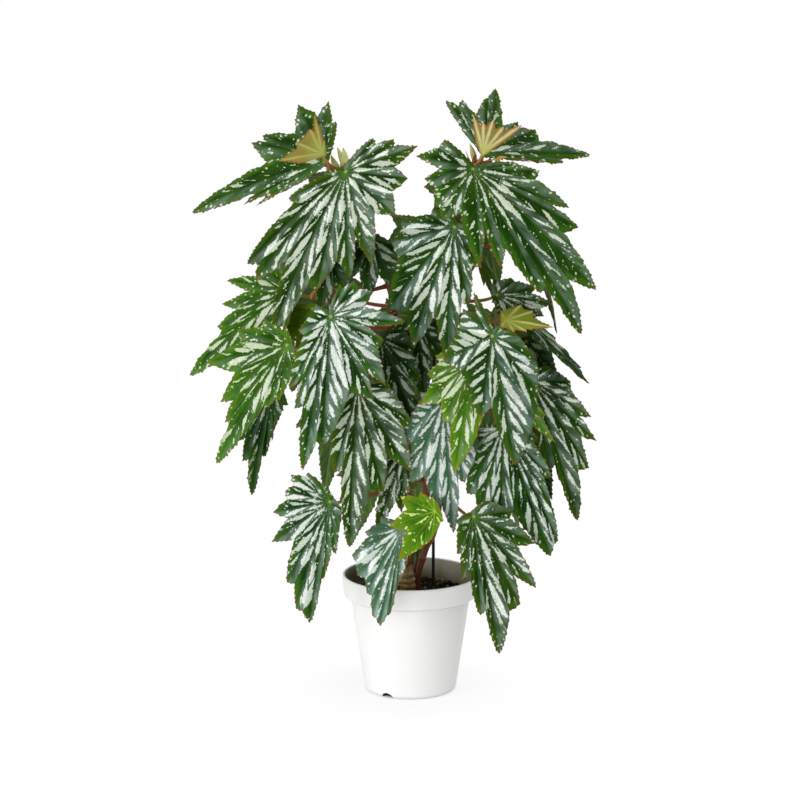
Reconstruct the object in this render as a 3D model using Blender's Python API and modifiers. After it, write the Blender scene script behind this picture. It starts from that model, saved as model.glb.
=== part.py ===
"""A potted angel-wing begonia: a nursery pot, its soil, a plant stake, two jointed canes
and their lobed leaves, each leaf one piece with its petiole.

Run it with blender --background --python part.py, or from Blender's text editor.
Units are metres with +Z up. The origin is the centre of the pot's underside, the floor is
z = 0, and the plant's fullest side faces -Y.
"""

import math
from collections import namedtuple

import bmesh
import bpy
import numpy as np
from mathutils import Vector

MM = 0.001

# Driving dimensions of the pot, all in metres.
RIM_DIAMETER = 130 * MM
POT_HEIGHT = 113 * MM
RIM_BAND = 21 * MM
RIM_STEP = 8 * MM
BASE_DIAMETER = 87 * MM
WALL = 2.2 * MM
FLOOR = 3.0 * MM
FOOT_ROUND = 5 * MM
POT_STEPS = 32

# Three drainage notches round the bottom edge.
NOTCH_COUNT = 3
NOTCH_RADIUS = 6.5 * MM
NOTCH_TOP = 5.2 * MM
FIRST_NOTCH = -121

# The soil, the gap that parts keep where they meet, and how deep the stems are planted.
SOIL_DROP = 19 * MM
SOIL_MOUND = 3 * MM
GAP = 0.3 * MM
PLANTED = 34 * MM

# The stake.
STAKE_FOOT = (22, 17)
STAKE_TOP = 345 * MM
STAKE_RADIUS = 1.5 * MM

# The blades.
BLADE = 0.9 * MM
PETIOLE_RADIUS = 1.7 * MM
SWELL = 0.045
SHORT_SIDE = 36
FOLD = 0.28
RINGS = 3
PETIOLE_POINTS = 6

# The canes: (x, y, z, radius) in millimetres, from below the soil's top to the growing tip.
CANES = {
    "left": (
        (-2, 6, 62, 3.2), (2, 7, 105, 3.3), (9, 8, 134, 3.4), (13, 6, 156, 3.5),
        (14, 2, 204, 3.6), (4, 0, 255, 3.3), (-6, 0, 301, 3.2), (-19, 0, 387, 3.0),
        (-43, -4, 452, 2.8), (-62, -8, 505, 2.4),
    ),
    "right": (
        (4, -3, 62, 3.0), (7, -2, 108, 3.0), (14, -1, 136, 3.2), (22, 1, 153, 3.2),
        (27, 4, 180, 3.3), (28, 5, 213, 3.3), (37, 5, 300, 3.1),
        (42, 5, 377, 3.0), (48, 1, 444, 2.8), (60, -4, 508, 2.4),
    ),
    "foot": (
        (-5, -12, 62, 5.4), (-3, -12, 100, 7.4), (-3, -12, 112, 7.0), (-5, -12, 122, 5.2),
        (-8, -14, 131, 3.6),
    ),
}

# A leaf: where its petiole meets the blade, in millimetres; the azimuth and elevation that
# its upper face looks to; how far its main vein swings from straight down in the plane of
# the blade; how much it droops along and arches across, in degrees per 100 mm; its cane
# and the height there that the petiole leaves; and its lobes, each as the angle from the
# main vein, the reach of its tip and the reach of the low after it, in millimetres. The
# last low is the sinus behind the petiole.
Leaf = namedtuple("Leaf", "name at faces swing bend stem root lobes")

# Two outlines that leaves out at the back and sides share.
BROAD = ((-128, 38, 32), (-88, 52, 42), (-52, 68, 50), (-22, 92, 64), (0, 128, 62), (26, 88, 46),
         (58, 66, 40), (95, 48, 28), (132, 34, 5))
SLIM = ((-120, 26, 22), (-70, 40, 32), (-36, 66, 46), (0, 112, 50), (24, 78, 42), (55, 54, 28),
        (105, 36, 5))


def sized(lobes, size, turned=False):
    """An outline scaled by size, and mirrored across the main vein if turned."""
    angle, reach, low = np.array(lobes, float).T
    if turned:
        angle, reach, low = -angle[::-1], reach[::-1], np.append(low[-2::-1], low[-1])
    return tuple(zip(angle, reach * size, low * size))


LEAVES = (
    # The left crown and shoulder.
    Leaf("leaf_left_crown", (-80, -25, 512), (-115, 38), -70, (12, 10), "left", 478,
         ((-107, 45, 42), (-95, 72, 58), (-72, 84, 53), (-41, 86, 73), (-33, 89, 64),
          (0, 146, 73), (12, 87, 57), (19, 76, 42), (27, 36, 4))),
    Leaf("leaf_left_main", (-60, -42, 505), (-100, 25), -24, (14, 12), "left", 490,
         ((-62, 21, 20), (-40, 59, 56), (-22, 126, 118), (-15, 132, 98), (0, 165, 110),
          (13, 114, 82), (29, 100, 60), (42, 91, 47), (75, 63, 47), (111, 58, 45), (138, 71, 50),
          (153, 54, 38), (170, 41, 5))),
    Leaf("leaf_left_wing", (-114, -18, 390), (-120, 30), -48, (12, 8), "left", 392,
         ((-100, 34, 28), (-72, 54, 40), (-46, 74, 44), (-29, 77, 60), (-13, 83, 78),
          (0, 132, 54), (24, 64, 34), (60, 36, 5))),
    # The left side.
    Leaf("leaf_left_side", (-114, -70, 348), (-105, 25), -29, (12, 10), "left", 338,
         ((-140, 20, 14), (-105, 36, 30), (-76, 54, 44), (-47, 81, 56), (-18, 82, 72),
          (-8, 93, 86), (0, 129, 60), (17, 60, 50), (27, 52, 24), (60, 26, 5))),
    Leaf("leaf_left_under", (-128, -18, 306), (-110, 8), -12, (8, 10), "left", 318,
         ((-60, 24, 22), (-17, 70, 64), (-10, 88, 82), (0, 117, 74), (6, 75, 50), (14, 48, 26),
          (44, 28, 7))),
    Leaf("leaf_left_low", (-75, -75, 201), (-95, 20), -9, (14, 12), "left", 206,
         ((-150, 20, 19), (-133, 35, 33), (-115, 46, 38), (-94, 44, 41), (-70, 55, 42),
          (-46, 67, 48), (-18, 85, 83), (-8, 105, 105), (0, 115, 72), (6, 70, 44), (17, 49, 30),
          (30, 27, 14), (75, 12, 5))),
    # Down the middle, from the top.
    Leaf("leaf_mid_high", (40, -58, 456), (-100, 22), -1, (12, 14), "right", 436,
         ((-150, 22, 20), (-127, 28, 26), (-96, 52, 50), (-76, 62, 60), (-36, 97, 90),
          (-17, 117, 82), (0, 123, 71), (14, 72, 38), (37, 46, 24), (80, 20, 5))),
    Leaf("leaf_mid_left", (-73, -110, 382), (-92, 20), -10, (12, 14), "left", 366,
         ((-120, 18, 16), (-57, 32, 29), (-19, 76, 62), (-11, 90, 85), (0, 143, 114),
          (7, 118, 70), (38, 86, 58), (49, 81, 52), (77, 53, 32), (97, 68, 31), (132, 46, 36),
          (158, 40, 28), (176, 32, 5))),
    Leaf("leaf_mid_core", (-49, -88, 312), (-90, 12), -3, (10, 12), "left", 285,
         ((-95, 24, 22), (-50, 38, 34), (-12, 82, 77), (0, 151, 95), (17, 101, 68), (35, 93, 56),
          (62, 58, 30), (105, 28, 5))),
    Leaf("leaf_mid_right", (60, -84, 338), (-95, 18), -10, (12, 12), "right", 312,
         ((-125, 22, 20), (-84, 38, 34), (-62, 48, 44), (-40, 68, 51), (-17, 65, 63),
          (0, 108, 78), (14, 62, 34), (50, 34, 22), (105, 22, 5))),
    Leaf("leaf_mid_hidden", (-28, -46, 350), (-75, 14), 20, (10, 10), "left", 320,
         ((-60, 18, 16), (-24, 52, 44), (0, 109, 50), (23, 57, 34), (55, 34, 26), (100, 22, 5))),
    Leaf("leaf_mid_drop", (30, -80, 300), (-85, 10), 4, (10, 10), "right", 286,
         ((-110, 22, 20), (-50, 56, 50), (-25, 84, 74), (-9, 104, 100), (0, 127, 76), (10, 82, 62),
          (34, 52, 26), (85, 28, 5))),
    Leaf("leaf_mid_low", (-6, -52, 247), (-95, 10), -18, (10, 10), "left", 236,
         ((-100, 20, 16), (-45, 34, 28), (-20, 48, 42), (0, 84, 50), (16, 62, 34), (32, 42, 20),
          (80, 22, 5))),
    Leaf("leaf_over_rim", (-8, -82, 178), (-100, 25), -10, (14, 10), "foot", 127,
         ((-105, 24, 22), (-72, 36, 32), (-50, 54, 54), (-31, 61, 58), (-16, 69, 69), (-6, 86, 87),
          (0, 94, 83), (5, 80, 62), (9, 54, 34), (24, 24, 12), (70, 12, 5))),
    Leaf("leaf_young_low", (22, -108, 200), (-95, 22), -35, (12, 12), "right", 160,
         ((-135, 14, 12), (-107, 23, 20), (-78, 36, 26), (-36, 45, 31), (0, 58, 31), (30, 26, 11),
          (80, 12, 5))),
    Leaf("leaf_low_small", (3, -24, 160), (-95, 8), -2, (10, 10), "left", 150,
         ((-90, 12, 10), (-28, 23, 17), (0, 36, 25), (14, 25, 18), (40, 16, 10), (84, 10, 5))),
    # The right crown and shoulder.
    Leaf("leaf_right_crown", (68, -12, 518), (-60, 45), 91, (12, 8), "right", 498,
         ((-26, 20, 18), (-15, 48, 42), (-8, 88, 84), (0, 128, 77), (21, 80, 61), (33, 69, 50),
          (56, 102, 78), (64, 75, 48), (82, 70, 60), (97, 70, 20), (114, 13, 4))),
    Leaf("leaf_right_main", (57, -46, 508), (-75, 28), 44, (12, 10), "right", 492,
         ((-187, 38, 37), (-152, 54, 29), (-126, 47, 40), (-96, 51, 50), (-80, 59, 44),
          (-45, 92, 57), (-33, 96, 78), (-18, 131, 128), (-11, 186, 136), (1, 163, 104),
          (16, 114, 78), (24, 100, 62), (45, 67, 45), (52, 44, 3.5))),
    Leaf("leaf_right_small", (88, -60, 370), (-70, 50), 78, (10, 8), "right", 350,
         ((-123, 12, 9), (-67, 16, 12), (-30, 22, 20), (0, 46, 28), (30, 32, 25), (54, 28, 12),
          (112, 12, 5))),
    Leaf("leaf_right_dark", (80, -36, 389), (-70, 25), 80, (10, 10), "right", 378,
         ((-75, 30, 26), (-40, 38, 34), (-17, 50, 45), (0, 57, 36), (19, 42, 24), (53, 24, 14),
          (105, 16, 5))),
    Leaf("leaf_right_olive", (67, -14, 419), (-28, 20), 4, (10, 10), "right", 396,
         ((-90, 12, 10), (-25, 26, 20), (0, 42, 22), (30, 23, 14), (84, 12, 5))),
    Leaf("leaf_right_edge", (94, -18, 372), (-20, 52), 10, (10, 10), "right", 358,
         ((-70, 18, 16), (-20, 52, 44), (0, 101, 82), (12, 89, 54), (29, 58, 30), (80, 20, 5))),
    # The right side.
    Leaf("leaf_right_front", (74, -95, 361), (-88, 18), 10, (12, 14), "right", 340,
         ((-168, 44, 22), (-145, 37, 31), (-75, 50, 43), (-18, 74, 65),
          (0, 120, 82), (30, 66, 48), (60, 36, 24), (92, 20, 10), (135, 14, 5))),
    Leaf("leaf_right_side", (112, -34, 308), (-70, 18), 18, (12, 12), "right", 292,
         ((-90, 18, 16), (-34, 36, 34), (-8, 88, 82), (0, 144, 98), (15, 104, 72), (28, 89, 60),
          (39, 71, 42), (67, 42, 26), (110, 22, 5))),
    Leaf("leaf_right_deep", (85, -66, 270), (-80, 14), 20, (12, 12), "right", 262,
         ((-112, 28, 26), (-84, 36, 34), (-50, 70, 67), (-37, 82, 79), (-22, 88, 80), (0, 131, 122),
          (6, 123, 98), (12, 86, 62), (23, 67, 34), (52, 36, 20), (100, 22, 5))),
    Leaf("leaf_right_low", (58, -95, 192), (-85, 22), 10, (14, 12), "right", 190,
         ((-90, 18, 16), (-36, 38, 36), (-22, 61, 50), (-7, 92, 87), (0, 131, 94), (17, 92, 66),
          (30, 88, 48), (56, 64, 34), (88, 36, 22), (135, 18, 5))),
    Leaf("leaf_right_fresh", (104, -62, 288), (-70, 20), 40, (8, 10), "right", 278,
         ((-70, 12, 10), (-25, 24, 18), (0, 46, 20), (28, 24, 14), (80, 14, 5))),
    # The dark leaves that fill the middle.
    Leaf("leaf_inner_left_high", (-36, -24, 440), (-95, 15), -5, (8, 10), "left", 424,
         ((-70, 26, 22), (-25, 44, 32), (0, 64, 34), (30, 52, 28), (80, 30, 5))),
    Leaf("leaf_inner_left", (-76, -30, 428), (-110, 15), -5, (8, 10), "left", 408,
         ((-75, 26, 22), (-30, 42, 30), (0, 62, 32), (32, 46, 24), (80, 26, 5))),
    Leaf("leaf_inner_back", (-92, -14, 372), (-100, 12), -12, (8, 10), "left", 352,
         ((-80, 28, 22), (-30, 40, 30), (0, 60, 32), (32, 42, 24), (85, 26, 5))),
    Leaf("leaf_inner_core", (6, -14, 362), (-85, 10), 5, (8, 10), "right", 346,
         ((-75, 26, 22), (-30, 46, 34), (0, 76, 36), (30, 50, 26), (75, 28, 5))),
    Leaf("leaf_inner_right", (109, 2, 338), (-84, 18), 12, (8, 10), "right", 328,
         ((-68, 24, 20), (-30, 38, 28), (0, 62, 30), (30, 44, 24), (78, 26, 5))),
    Leaf("leaf_inner_deep", (116, -16, 250), (-84, 18), 15, (8, 10), "right", 228,
         ((-66, 24, 20), (-30, 36, 28), (0, 62, 30), (30, 44, 24), (80, 28, 5))),
    # Round the sides and the back.
    Leaf("leaf_back_left_high", (-62, 22, 490), (104, 30), 4, (12, 10), "left", 470,
         sized(BROAD, 0.8)),
    Leaf("leaf_back_right_high", (58, 28, 490), (80, 28), -10, (12, 10), "right", 470,
         sized(BROAD, 0.92, True)),
    Leaf("leaf_back_mid_high", (14, 50, 444), (84, 18), 0, (12, 10), "right", 410,
         sized(SLIM, 0.95)),
    Leaf("leaf_back_left", (-80, 62, 384), (115, 20), 14, (12, 12), "left", 372,
         sized(BROAD, 0.9, True)),
    Leaf("leaf_back_right", (79, 64, 352), (70, 20), -12, (12, 12), "right", 338,
         sized(BROAD, 0.85)),
    Leaf("leaf_back_mid", (2, 96, 346), (92, 18), -3, (12, 12), "right", 318,
         sized(BROAD, 1.0)),
    Leaf("leaf_back_left_low", (-62, 62, 292), (112, 18), 8, (12, 12), "left", 262,
         sized(SLIM, 1.05, True)),
    Leaf("leaf_back_right_low", (72, 62, 296), (70, 18), -8, (12, 12), "right", 270,
         sized(SLIM, 1.1)),
    Leaf("leaf_back_low", (8, 92, 246), (90, 20), 2, (14, 12), "right", 224,
         sized(BROAD, 0.78, True)),
    Leaf("leaf_back_foot", (-34, 66, 212), (105, 22), 10, (14, 12), "left", 180,
         sized(SLIM, 0.78)),
    Leaf("leaf_side_left_high", (-114, 26, 434), (172, 22), 4, (12, 12), "left", 436,
         sized(SLIM, 0.62)),
    Leaf("leaf_side_left", (-118, 26, 338), (168, 16), 8, (12, 12), "left", 330,
         sized(SLIM, 0.9, True)),
    Leaf("leaf_side_right_high", (116, 4, 432), (8, 22), -4, (12, 12), "right", 432,
         sized(SLIM, 0.8, True)),
    Leaf("leaf_side_right", (128, 40, 318), (12, 16), -8, (12, 12), "right", 314,
         sized(SLIM, 0.95)),
    Leaf("leaf_side_low", (86, 30, 232), (35, 18), -6, (12, 12), "right", 214,
         sized(SLIM, 0.75, True)),
    # The folded young leaves at the two growing tips.
    Leaf("leaf_left_young", (-81, -50, 523), (-80, 30), -120, (30, 20), "left", 504,
         ((-75, 14, 12), (-55, 42, 23), (-40, 27, 24), (2, 25, 24), (36, 41, 20), (60, 14, 4))),
    Leaf("leaf_right_young", (66, -62, 525), (-80, 30), 170, (10, 24), "right", 508,
         ((-62, 10, 9), (-44, 50, 30), (-30, 35, 28), (-11, 36, 27), (4, 31, 27), (18, 41, 14),
          (38, 10, 4))),
)


COLOURS = {
    "pot": (0.84, 0.84, 0.83), "soil": (0.012, 0.008, 0.006), "stake": (0.01, 0.01, 0.011),
    "cane": (0.12, 0.035, 0.018), "foot": (0.14, 0.10, 0.045), "leaf": (0.045, 0.13, 0.06),
    "young": (0.25, 0.16, 0.07), "bud": (0.55, 0.52, 0.2),
}


def clear_scene():
    """Removes whatever the scene starts with."""
    for thing in list(bpy.data.objects):
        bpy.data.objects.remove(thing)


def new_collection(name):
    collection = bpy.data.collections.new(name)
    bpy.context.scene.collection.children.link(collection)
    return collection


def material(name, colour, roughness):
    """A plain finish: one colour, one roughness, no metal."""
    finish = bpy.data.materials.get(name)
    if finish is None:
        finish = bpy.data.materials.new(name)
        finish.use_nodes = True
        shader = finish.node_tree.nodes["Principled BSDF"]
        shader.inputs["Base Color"].default_value = (*colour, 1)
        shader.inputs["Roughness"].default_value = roughness
        shader.inputs["Metallic"].default_value = 0
    return finish


def add(name, data, collection, finish=None):
    """Links a new object for this mesh or curve to a collection."""
    thing = bpy.data.objects.new(name, data)
    collection.objects.link(thing)
    if finish:
        data.materials.append(finish)
    return thing


def hide_cutter(thing):
    thing.hide_render = True
    thing.display_type = "WIRE"
    return thing


def boolean(thing, other, operation):
    cut = thing.modifiers.new(operation.title(), "BOOLEAN")
    cut.operation = operation
    cut.solver = "EXACT"
    cut.object = other


def turned(name, profile, collection, finish):
    """A turned shape: the profile, in the XZ plane, spun once round the Z axis."""
    mesh = bpy.data.meshes.new(name)
    edges = [(i, i + 1) for i in range(len(profile) - 1)]
    mesh.from_pydata([(x, 0, z) for x, z in profile], edges, [])
    thing = add(name, mesh, collection, finish)
    spin = thing.modifiers.new("Spin", "SCREW")
    spin.steps = spin.render_steps = POT_STEPS
    spin.use_merge_vertices = True
    spin.merge_threshold = 0.00005
    spin.use_smooth_shade = False
    return thing


def quarter(centre, radius, start, stop, steps=3):
    """Points on an arc of the profile, with both ends, in degrees from +X."""
    turns = [math.radians(start + (stop - start) * i / steps) for i in range(steps + 1)]
    return [(centre[0] + radius * math.cos(t), centre[1] + radius * math.sin(t)) for t in turns]


def inner_radius(z):
    """The pot's inside radius at a height, from the floor's corner to under the rim."""
    low, high = BASE_DIAMETER / 2, RIM_DIAMETER / 2 - RIM_STEP
    return low + (high - low) * z / (POT_HEIGHT - RIM_BAND) - WALL


def make_pot(collection, cutters):
    """The pot: a tapered wall, a stepped rim band and three drainage notches."""
    rim, base = RIM_DIAMETER / 2, BASE_DIAMETER / 2
    band = POT_HEIGHT - RIM_BAND
    lip = WALL / 2
    draft = 1.5 * MM
    profile = [(0, FLOOR), (inner_radius(FLOOR) - FLOOR, FLOOR)]
    profile += [(inner_radius(FLOOR * 2), FLOOR * 2), (inner_radius(band), band)]
    profile += [(rim - WALL - draft, band + WALL), (rim - WALL, POT_HEIGHT - lip)]
    profile += quarter((rim - lip, POT_HEIGHT - lip), lip, 150, 30, 3)
    profile += [(rim, POT_HEIGHT - lip), (rim - draft, band + 3 * MM)]
    profile += [(rim - draft - 2 * MM, band), (rim - RIM_STEP, band)]
    profile += quarter((base - FOOT_ROUND, FOOT_ROUND), FOOT_ROUND, -10, -90)
    profile += [(0, 0)]
    pot = turned("pot", profile, collection, material("pot_plastic", COLOURS["pot"], 0.35))
    for i in range(NOTCH_COUNT):
        turn = math.radians(FIRST_NOTCH + 360 * i / NOTCH_COUNT)
        bm = bmesh.new()
        bmesh.ops.create_cone(bm, cap_ends=True, segments=16, radius1=NOTCH_RADIUS,
                              radius2=NOTCH_RADIUS, depth=FOOT_ROUND * 3)
        mesh = bpy.data.meshes.new("notch")
        bm.to_mesh(mesh)
        bm.free()
        cutter = hide_cutter(add(f"notch_cutter_{i + 1}", mesh, cutters))
        out = Vector((math.cos(turn), math.sin(turn), 0))
        cutter.rotation_mode = "QUATERNION"
        cutter.rotation_quaternion = Vector((0, 0, 1)).rotation_difference(out)
        cutter.location = out * base + Vector((0, 0, NOTCH_TOP - NOTCH_RADIUS))
        boolean(pot, cutter, "DIFFERENCE")
    return pot


def route(points, steps):
    """A smooth route through (x, y, z, radius) points: Catmull-Rom, steps to a span."""
    ends = [points[0], *points, points[-1]]
    out = []
    for a, b, c, d in zip(ends, ends[1:], ends[2:], ends[3:]):
        for i in range(steps):
            t = i / steps
            out.append([
                0.5 * (2 * q + (r - p) * t + (2 * p - 5 * q + 4 * r - s) * t**2
                       + (3 * q - p - 3 * r + s) * t**3)
                for p, q, r, s in zip(a, b, c, d)
            ])
    out.append(list(points[-1]))
    return out


CANE_ROUTES = {name: route(points, 3) for name, points in CANES.items()}


def cane_at(name, height):
    """The cane's centre and radius, in millimetres, at a height."""
    points = CANE_ROUTES[name]
    height = min(height, points[-1][2])
    for a, b in zip(points, points[1:]):
        if a[2] <= height <= b[2]:
            t = (height - a[2]) / (b[2] - a[2])
            x, y, z, radius = (p + (q - p) * t for p, q in zip(a, b))
            return Vector((x, y, z)), radius


def tube(name, points, collection, finish, sides, grow=0):
    """A closed tube along (x, y, z, radius) points in millimetres, as a curve with caps."""
    curve = bpy.data.curves.new(name, "CURVE")
    curve.dimensions = "3D"
    curve.bevel_depth = MM
    curve.bevel_resolution = sides // 2 - 2
    curve.use_fill_caps = True
    spline = curve.splines.new("POLY")
    spline.points.add(len(points) - 1)
    for knot, (x, y, z, radius) in zip(spline.points, points):
        knot.co = (x * MM, y * MM, z * MM, 1)
        knot.radius = radius + grow
    return add(name, curve, collection, finish)


def as_mesh(thing, collection):
    """The curve object remade as a welded mesh object."""
    graph = bpy.context.evaluated_depsgraph_get()
    mesh = bpy.data.meshes.new_from_object(thing.evaluated_get(graph))
    bm = bmesh.new()
    bm.from_mesh(mesh)
    bmesh.ops.remove_doubles(bm, verts=bm.verts, dist=0.000001)
    bm.to_mesh(mesh)
    bm.free()
    name, place = thing.name, thing.matrix_world.copy()
    bpy.data.objects.remove(thing)
    solid = add(name, mesh, collection)
    solid.matrix_world = place
    return solid


def make_soil(collection, cutters):
    """The soil: a plug inside the pot, mounded, with a socket for each thing planted in it."""
    top = POT_HEIGHT - SOIL_DROP
    foot = FLOOR + GAP
    edge = inner_radius(POT_HEIGHT - RIM_BAND) - GAP * 2
    profile = [(0, top + SOIL_MOUND), (edge * 0.5, top + SOIL_MOUND * 0.7), (edge, top)]
    profile += [(inner_radius(FLOOR * 2) - GAP * 2, FLOOR * 2 + GAP)]
    profile += [(inner_radius(FLOOR) - FLOOR - GAP * 2, foot), (0, foot)]
    soil = turned("soil", profile, collection, material("potting_mix", COLOURS["soil"], 0.95))
    for name, points in CANES.items():
        x, y, z, radius = points[0]
        shank = [(x, y, z - 0.3, radius), *CANE_ROUTES[name][1:5]]
        cutter = tube(f"{name}_socket", shank, cutters, None, 10, grow=0.5)
        boolean(soil, hide_cutter(as_mesh(cutter, cutters)), "DIFFERENCE")
    x, y = STAKE_FOOT
    deep = top / MM - PLANTED / MM
    shank = [(x, y, deep - 0.3, STAKE_RADIUS / MM), (x, y, 150, STAKE_RADIUS / MM)]
    cutter = tube("stake_socket", shank, cutters, None, 8, grow=0.3)
    boolean(soil, hide_cutter(as_mesh(cutter, cutters)), "DIFFERENCE")
    return soil


def make_stems(collection):
    """The stake, the two canes and the swollen foot of an older cane."""
    x, y = STAKE_FOOT
    deep = (POT_HEIGHT - SOIL_DROP - PLANTED) / MM
    rod = [(x, y, deep, STAKE_RADIUS / MM), (x, y, STAKE_TOP / MM, STAKE_RADIUS / MM)]
    tube("stake", rod, collection, material("stake_coating", COLOURS["stake"], 0.5), 8)
    bark = material("cane_bark", COLOURS["cane"], 0.55)
    tube("cane_left", CANE_ROUTES["left"], collection, bark, 8)
    tube("cane_right", CANE_ROUTES["right"], collection, bark, 8)
    tube("cane_foot", CANE_ROUTES["foot"], collection, material("old_bark", COLOURS["foot"], 0.7), 10)


def blade_axes(leaf):
    """Unit vectors along the main vein, across the blade, and out of its upper face."""
    azimuth, elevation = (math.radians(a) for a in leaf.faces)
    swing = math.radians(leaf.swing)
    out = Vector((math.cos(azimuth) * math.cos(elevation),
                  math.sin(azimuth) * math.cos(elevation), math.sin(elevation)))
    side = Vector((-math.sin(azimuth), math.cos(azimuth), 0))
    down = side.cross(out)
    along = down * math.cos(swing) + side * math.sin(swing)
    across = side * math.cos(swing) - down * math.sin(swing)
    return along, across, out


def arc_bend(distance, height, degrees):
    """Bends a line into an arc that turns by so many degrees in 100 mm."""
    turn = math.radians(degrees) / 100
    radius = 1 / turn
    return ((radius + height) * math.sin(distance * turn),
            (radius + height) * math.cos(distance * turn) - radius)


def blade_point(leaf, axes, angle, reach, height=0.0):
    """The place in space of a point of the flat blade, in millimetres."""
    along, across, out = axes
    droop, arch = leaf.bend
    v = reach * math.cos(math.radians(angle))
    u = reach * math.sin(math.radians(angle))
    u, height = arc_bend(u, height, arch)
    v, height = arc_bend(v, height, droop)
    return Vector(leaf.at) + along * v + across * u + out * height


def polar(angle, reach):
    turn = math.radians(angle)
    return Vector((reach * math.cos(turn), reach * math.sin(turn)))


def notch(lobe, following):
    """The notch between two lobes, nearer the short one."""
    (a, r, low), (b, s, _) = lobe, following
    return a + (b - a) * r / (r + s), low


def shoulder(low, tip):
    """A point between a notch and a lobe's tip, swelled away from the lobe's vein."""
    start, stop = polar(*low), polar(*tip)
    point = start.lerp(stop, 0.7)
    away = point - stop * point.dot(stop) / stop.length_squared
    point += away.normalized() * SWELL * (stop - start).length
    angle = math.degrees(math.atan2(point.y, point.x))
    turns = round((tip[0] - angle) / 360)
    return angle + 360 * turns, point.length


def outline(lobes):
    """The margin as (angle, reach, vein angle): the sinus behind the petiole, then for each
    lobe its tip, with a shoulder on each long side, and a notch before the next."""
    sinus = (lobes[0][0] + lobes[-1][0]) / 2 + 180
    lows = [(sinus - 360, lobes[-1][2])]
    lows += [notch(a, b) for a, b in zip(lobes, lobes[1:])]
    lows += [(sinus, lobes[-1][2])]
    margin = []
    for (angle, reach, _), before, after in zip(lobes, lows, lows[1:]):
        tip = (angle, reach)
        points = [before, tip]
        if (polar(*before) - polar(*tip)).length > SHORT_SIDE:
            points.insert(1, shoulder(before, tip))
        if (polar(*after) - polar(*tip)).length > SHORT_SIDE:
            points.append(shoulder(after, tip))
        margin += [(*point, angle) for point in points]
    margin.append((*lows[-1], lobes[-1][0]))
    return margin


def blade_mesh(leaf, axes):
    """The blade as an open surface: a grid whose columns run from the petiole to the margin,
    folded like a roof so that each vein runs along a ridge."""
    margin = outline(leaf.lobes)
    columns = len(margin) - 1
    bm = bmesh.new()
    bmesh.ops.create_grid(bm, x_segments=columns, y_segments=RINGS - 1, size=1)
    for vert in bm.verts:
        column = round((vert.co.x + 1) / 2 * columns)
        ratio = (vert.co.y + 1) / 2
        angle, reach, vein = margin[column]
        reach *= ratio
        lift = -FOLD * abs(reach * math.sin(math.radians(angle - vein)))
        vert.co = blade_point(leaf, axes, angle, reach, lift) * MM
    bmesh.ops.remove_doubles(bm, verts=bm.verts, dist=0.000002)
    bmesh.ops.recalc_face_normals(bm, faces=bm.faces)
    mesh = bpy.data.meshes.new(leaf.name)
    bm.to_mesh(mesh)
    bm.free()
    return mesh


def petiole_route(leaf, axes):
    """The petiole's (x, y, z, radius) points: out of the cane, then over to the blade."""
    out = axes[2]
    junction = Vector(leaf.at) + out * BLADE / MM * 0.2
    centre, radius = cane_at(leaf.stem, leaf.root)
    grain = (cane_at(leaf.stem, leaf.root + 2)[0] - cane_at(leaf.stem, leaf.root - 2)[0]).normalized()
    away = junction - centre
    away = (away - grain * away.dot(grain)).normalized()
    start = centre + away * (radius + GAP / MM + 0.3)
    span = (junction - start).length
    first = start + away * span * 0.35
    last = junction - out * span * 0.35
    points = []
    for i in range(PETIOLE_POINTS):
        t = i / (PETIOLE_POINTS - 1)
        place = (start * (1 - t)**3 + first * 3 * t * (1 - t)**2
                 + last * 3 * t**2 * (1 - t) + junction * t**3)
        points.append((*place, 1.0))
    return points


def make_leaf(leaf, collection, cutters):
    """One leaf: the blade, thickened, with its petiole joined on."""
    axes = blade_axes(leaf)
    young = "young" in leaf.name
    finish = material("young_leaf" if young else "leaf_blade",
                      COLOURS["young" if young else "leaf"], 0.4)
    blade = add(leaf.name, blade_mesh(leaf, axes), collection, finish)
    thicken = blade.modifiers.new("Thickness", "SOLIDIFY")
    thicken.thickness = BLADE
    thicken.offset = 0
    stalk = tube(f"{leaf.name}_petiole", petiole_route(leaf, axes), cutters, None, 6,
                 grow=PETIOLE_RADIUS / MM - 1)
    boolean(blade, hide_cutter(as_mesh(stalk, cutters)), "UNION")
    return blade


def make_bud(name, stem, lean, collection):
    """A pale pointed bud on a cane's growing tip."""
    x, y, z, radius = CANE_ROUTES[stem][-1]
    foot = z + GAP / MM + 0.4
    shape = ((0, 0, 1.6), (0.25, 5, 2.8), (0.6, 11, 2.2), (1, 17, 0.5))
    points = [(x + lean * t, y, foot + rise, girth) for t, rise, girth in shape]
    tube(name, points, collection, material("bud_scale", COLOURS["bud"], 0.5), 6)


def build():
    clear_scene()
    plant = new_collection("potted_begonia")
    cutters = new_collection("cutters")
    make_pot(plant, cutters)
    make_soil(plant, cutters)
    make_stems(plant)
    for leaf in LEAVES:
        make_leaf(leaf, plant, cutters)
    make_bud("bud_left", "left", -6, plant)
    make_bud("bud_right", "right", -5, plant)


build()
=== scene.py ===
import math
from collections import namedtuple
from functools import partial

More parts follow.
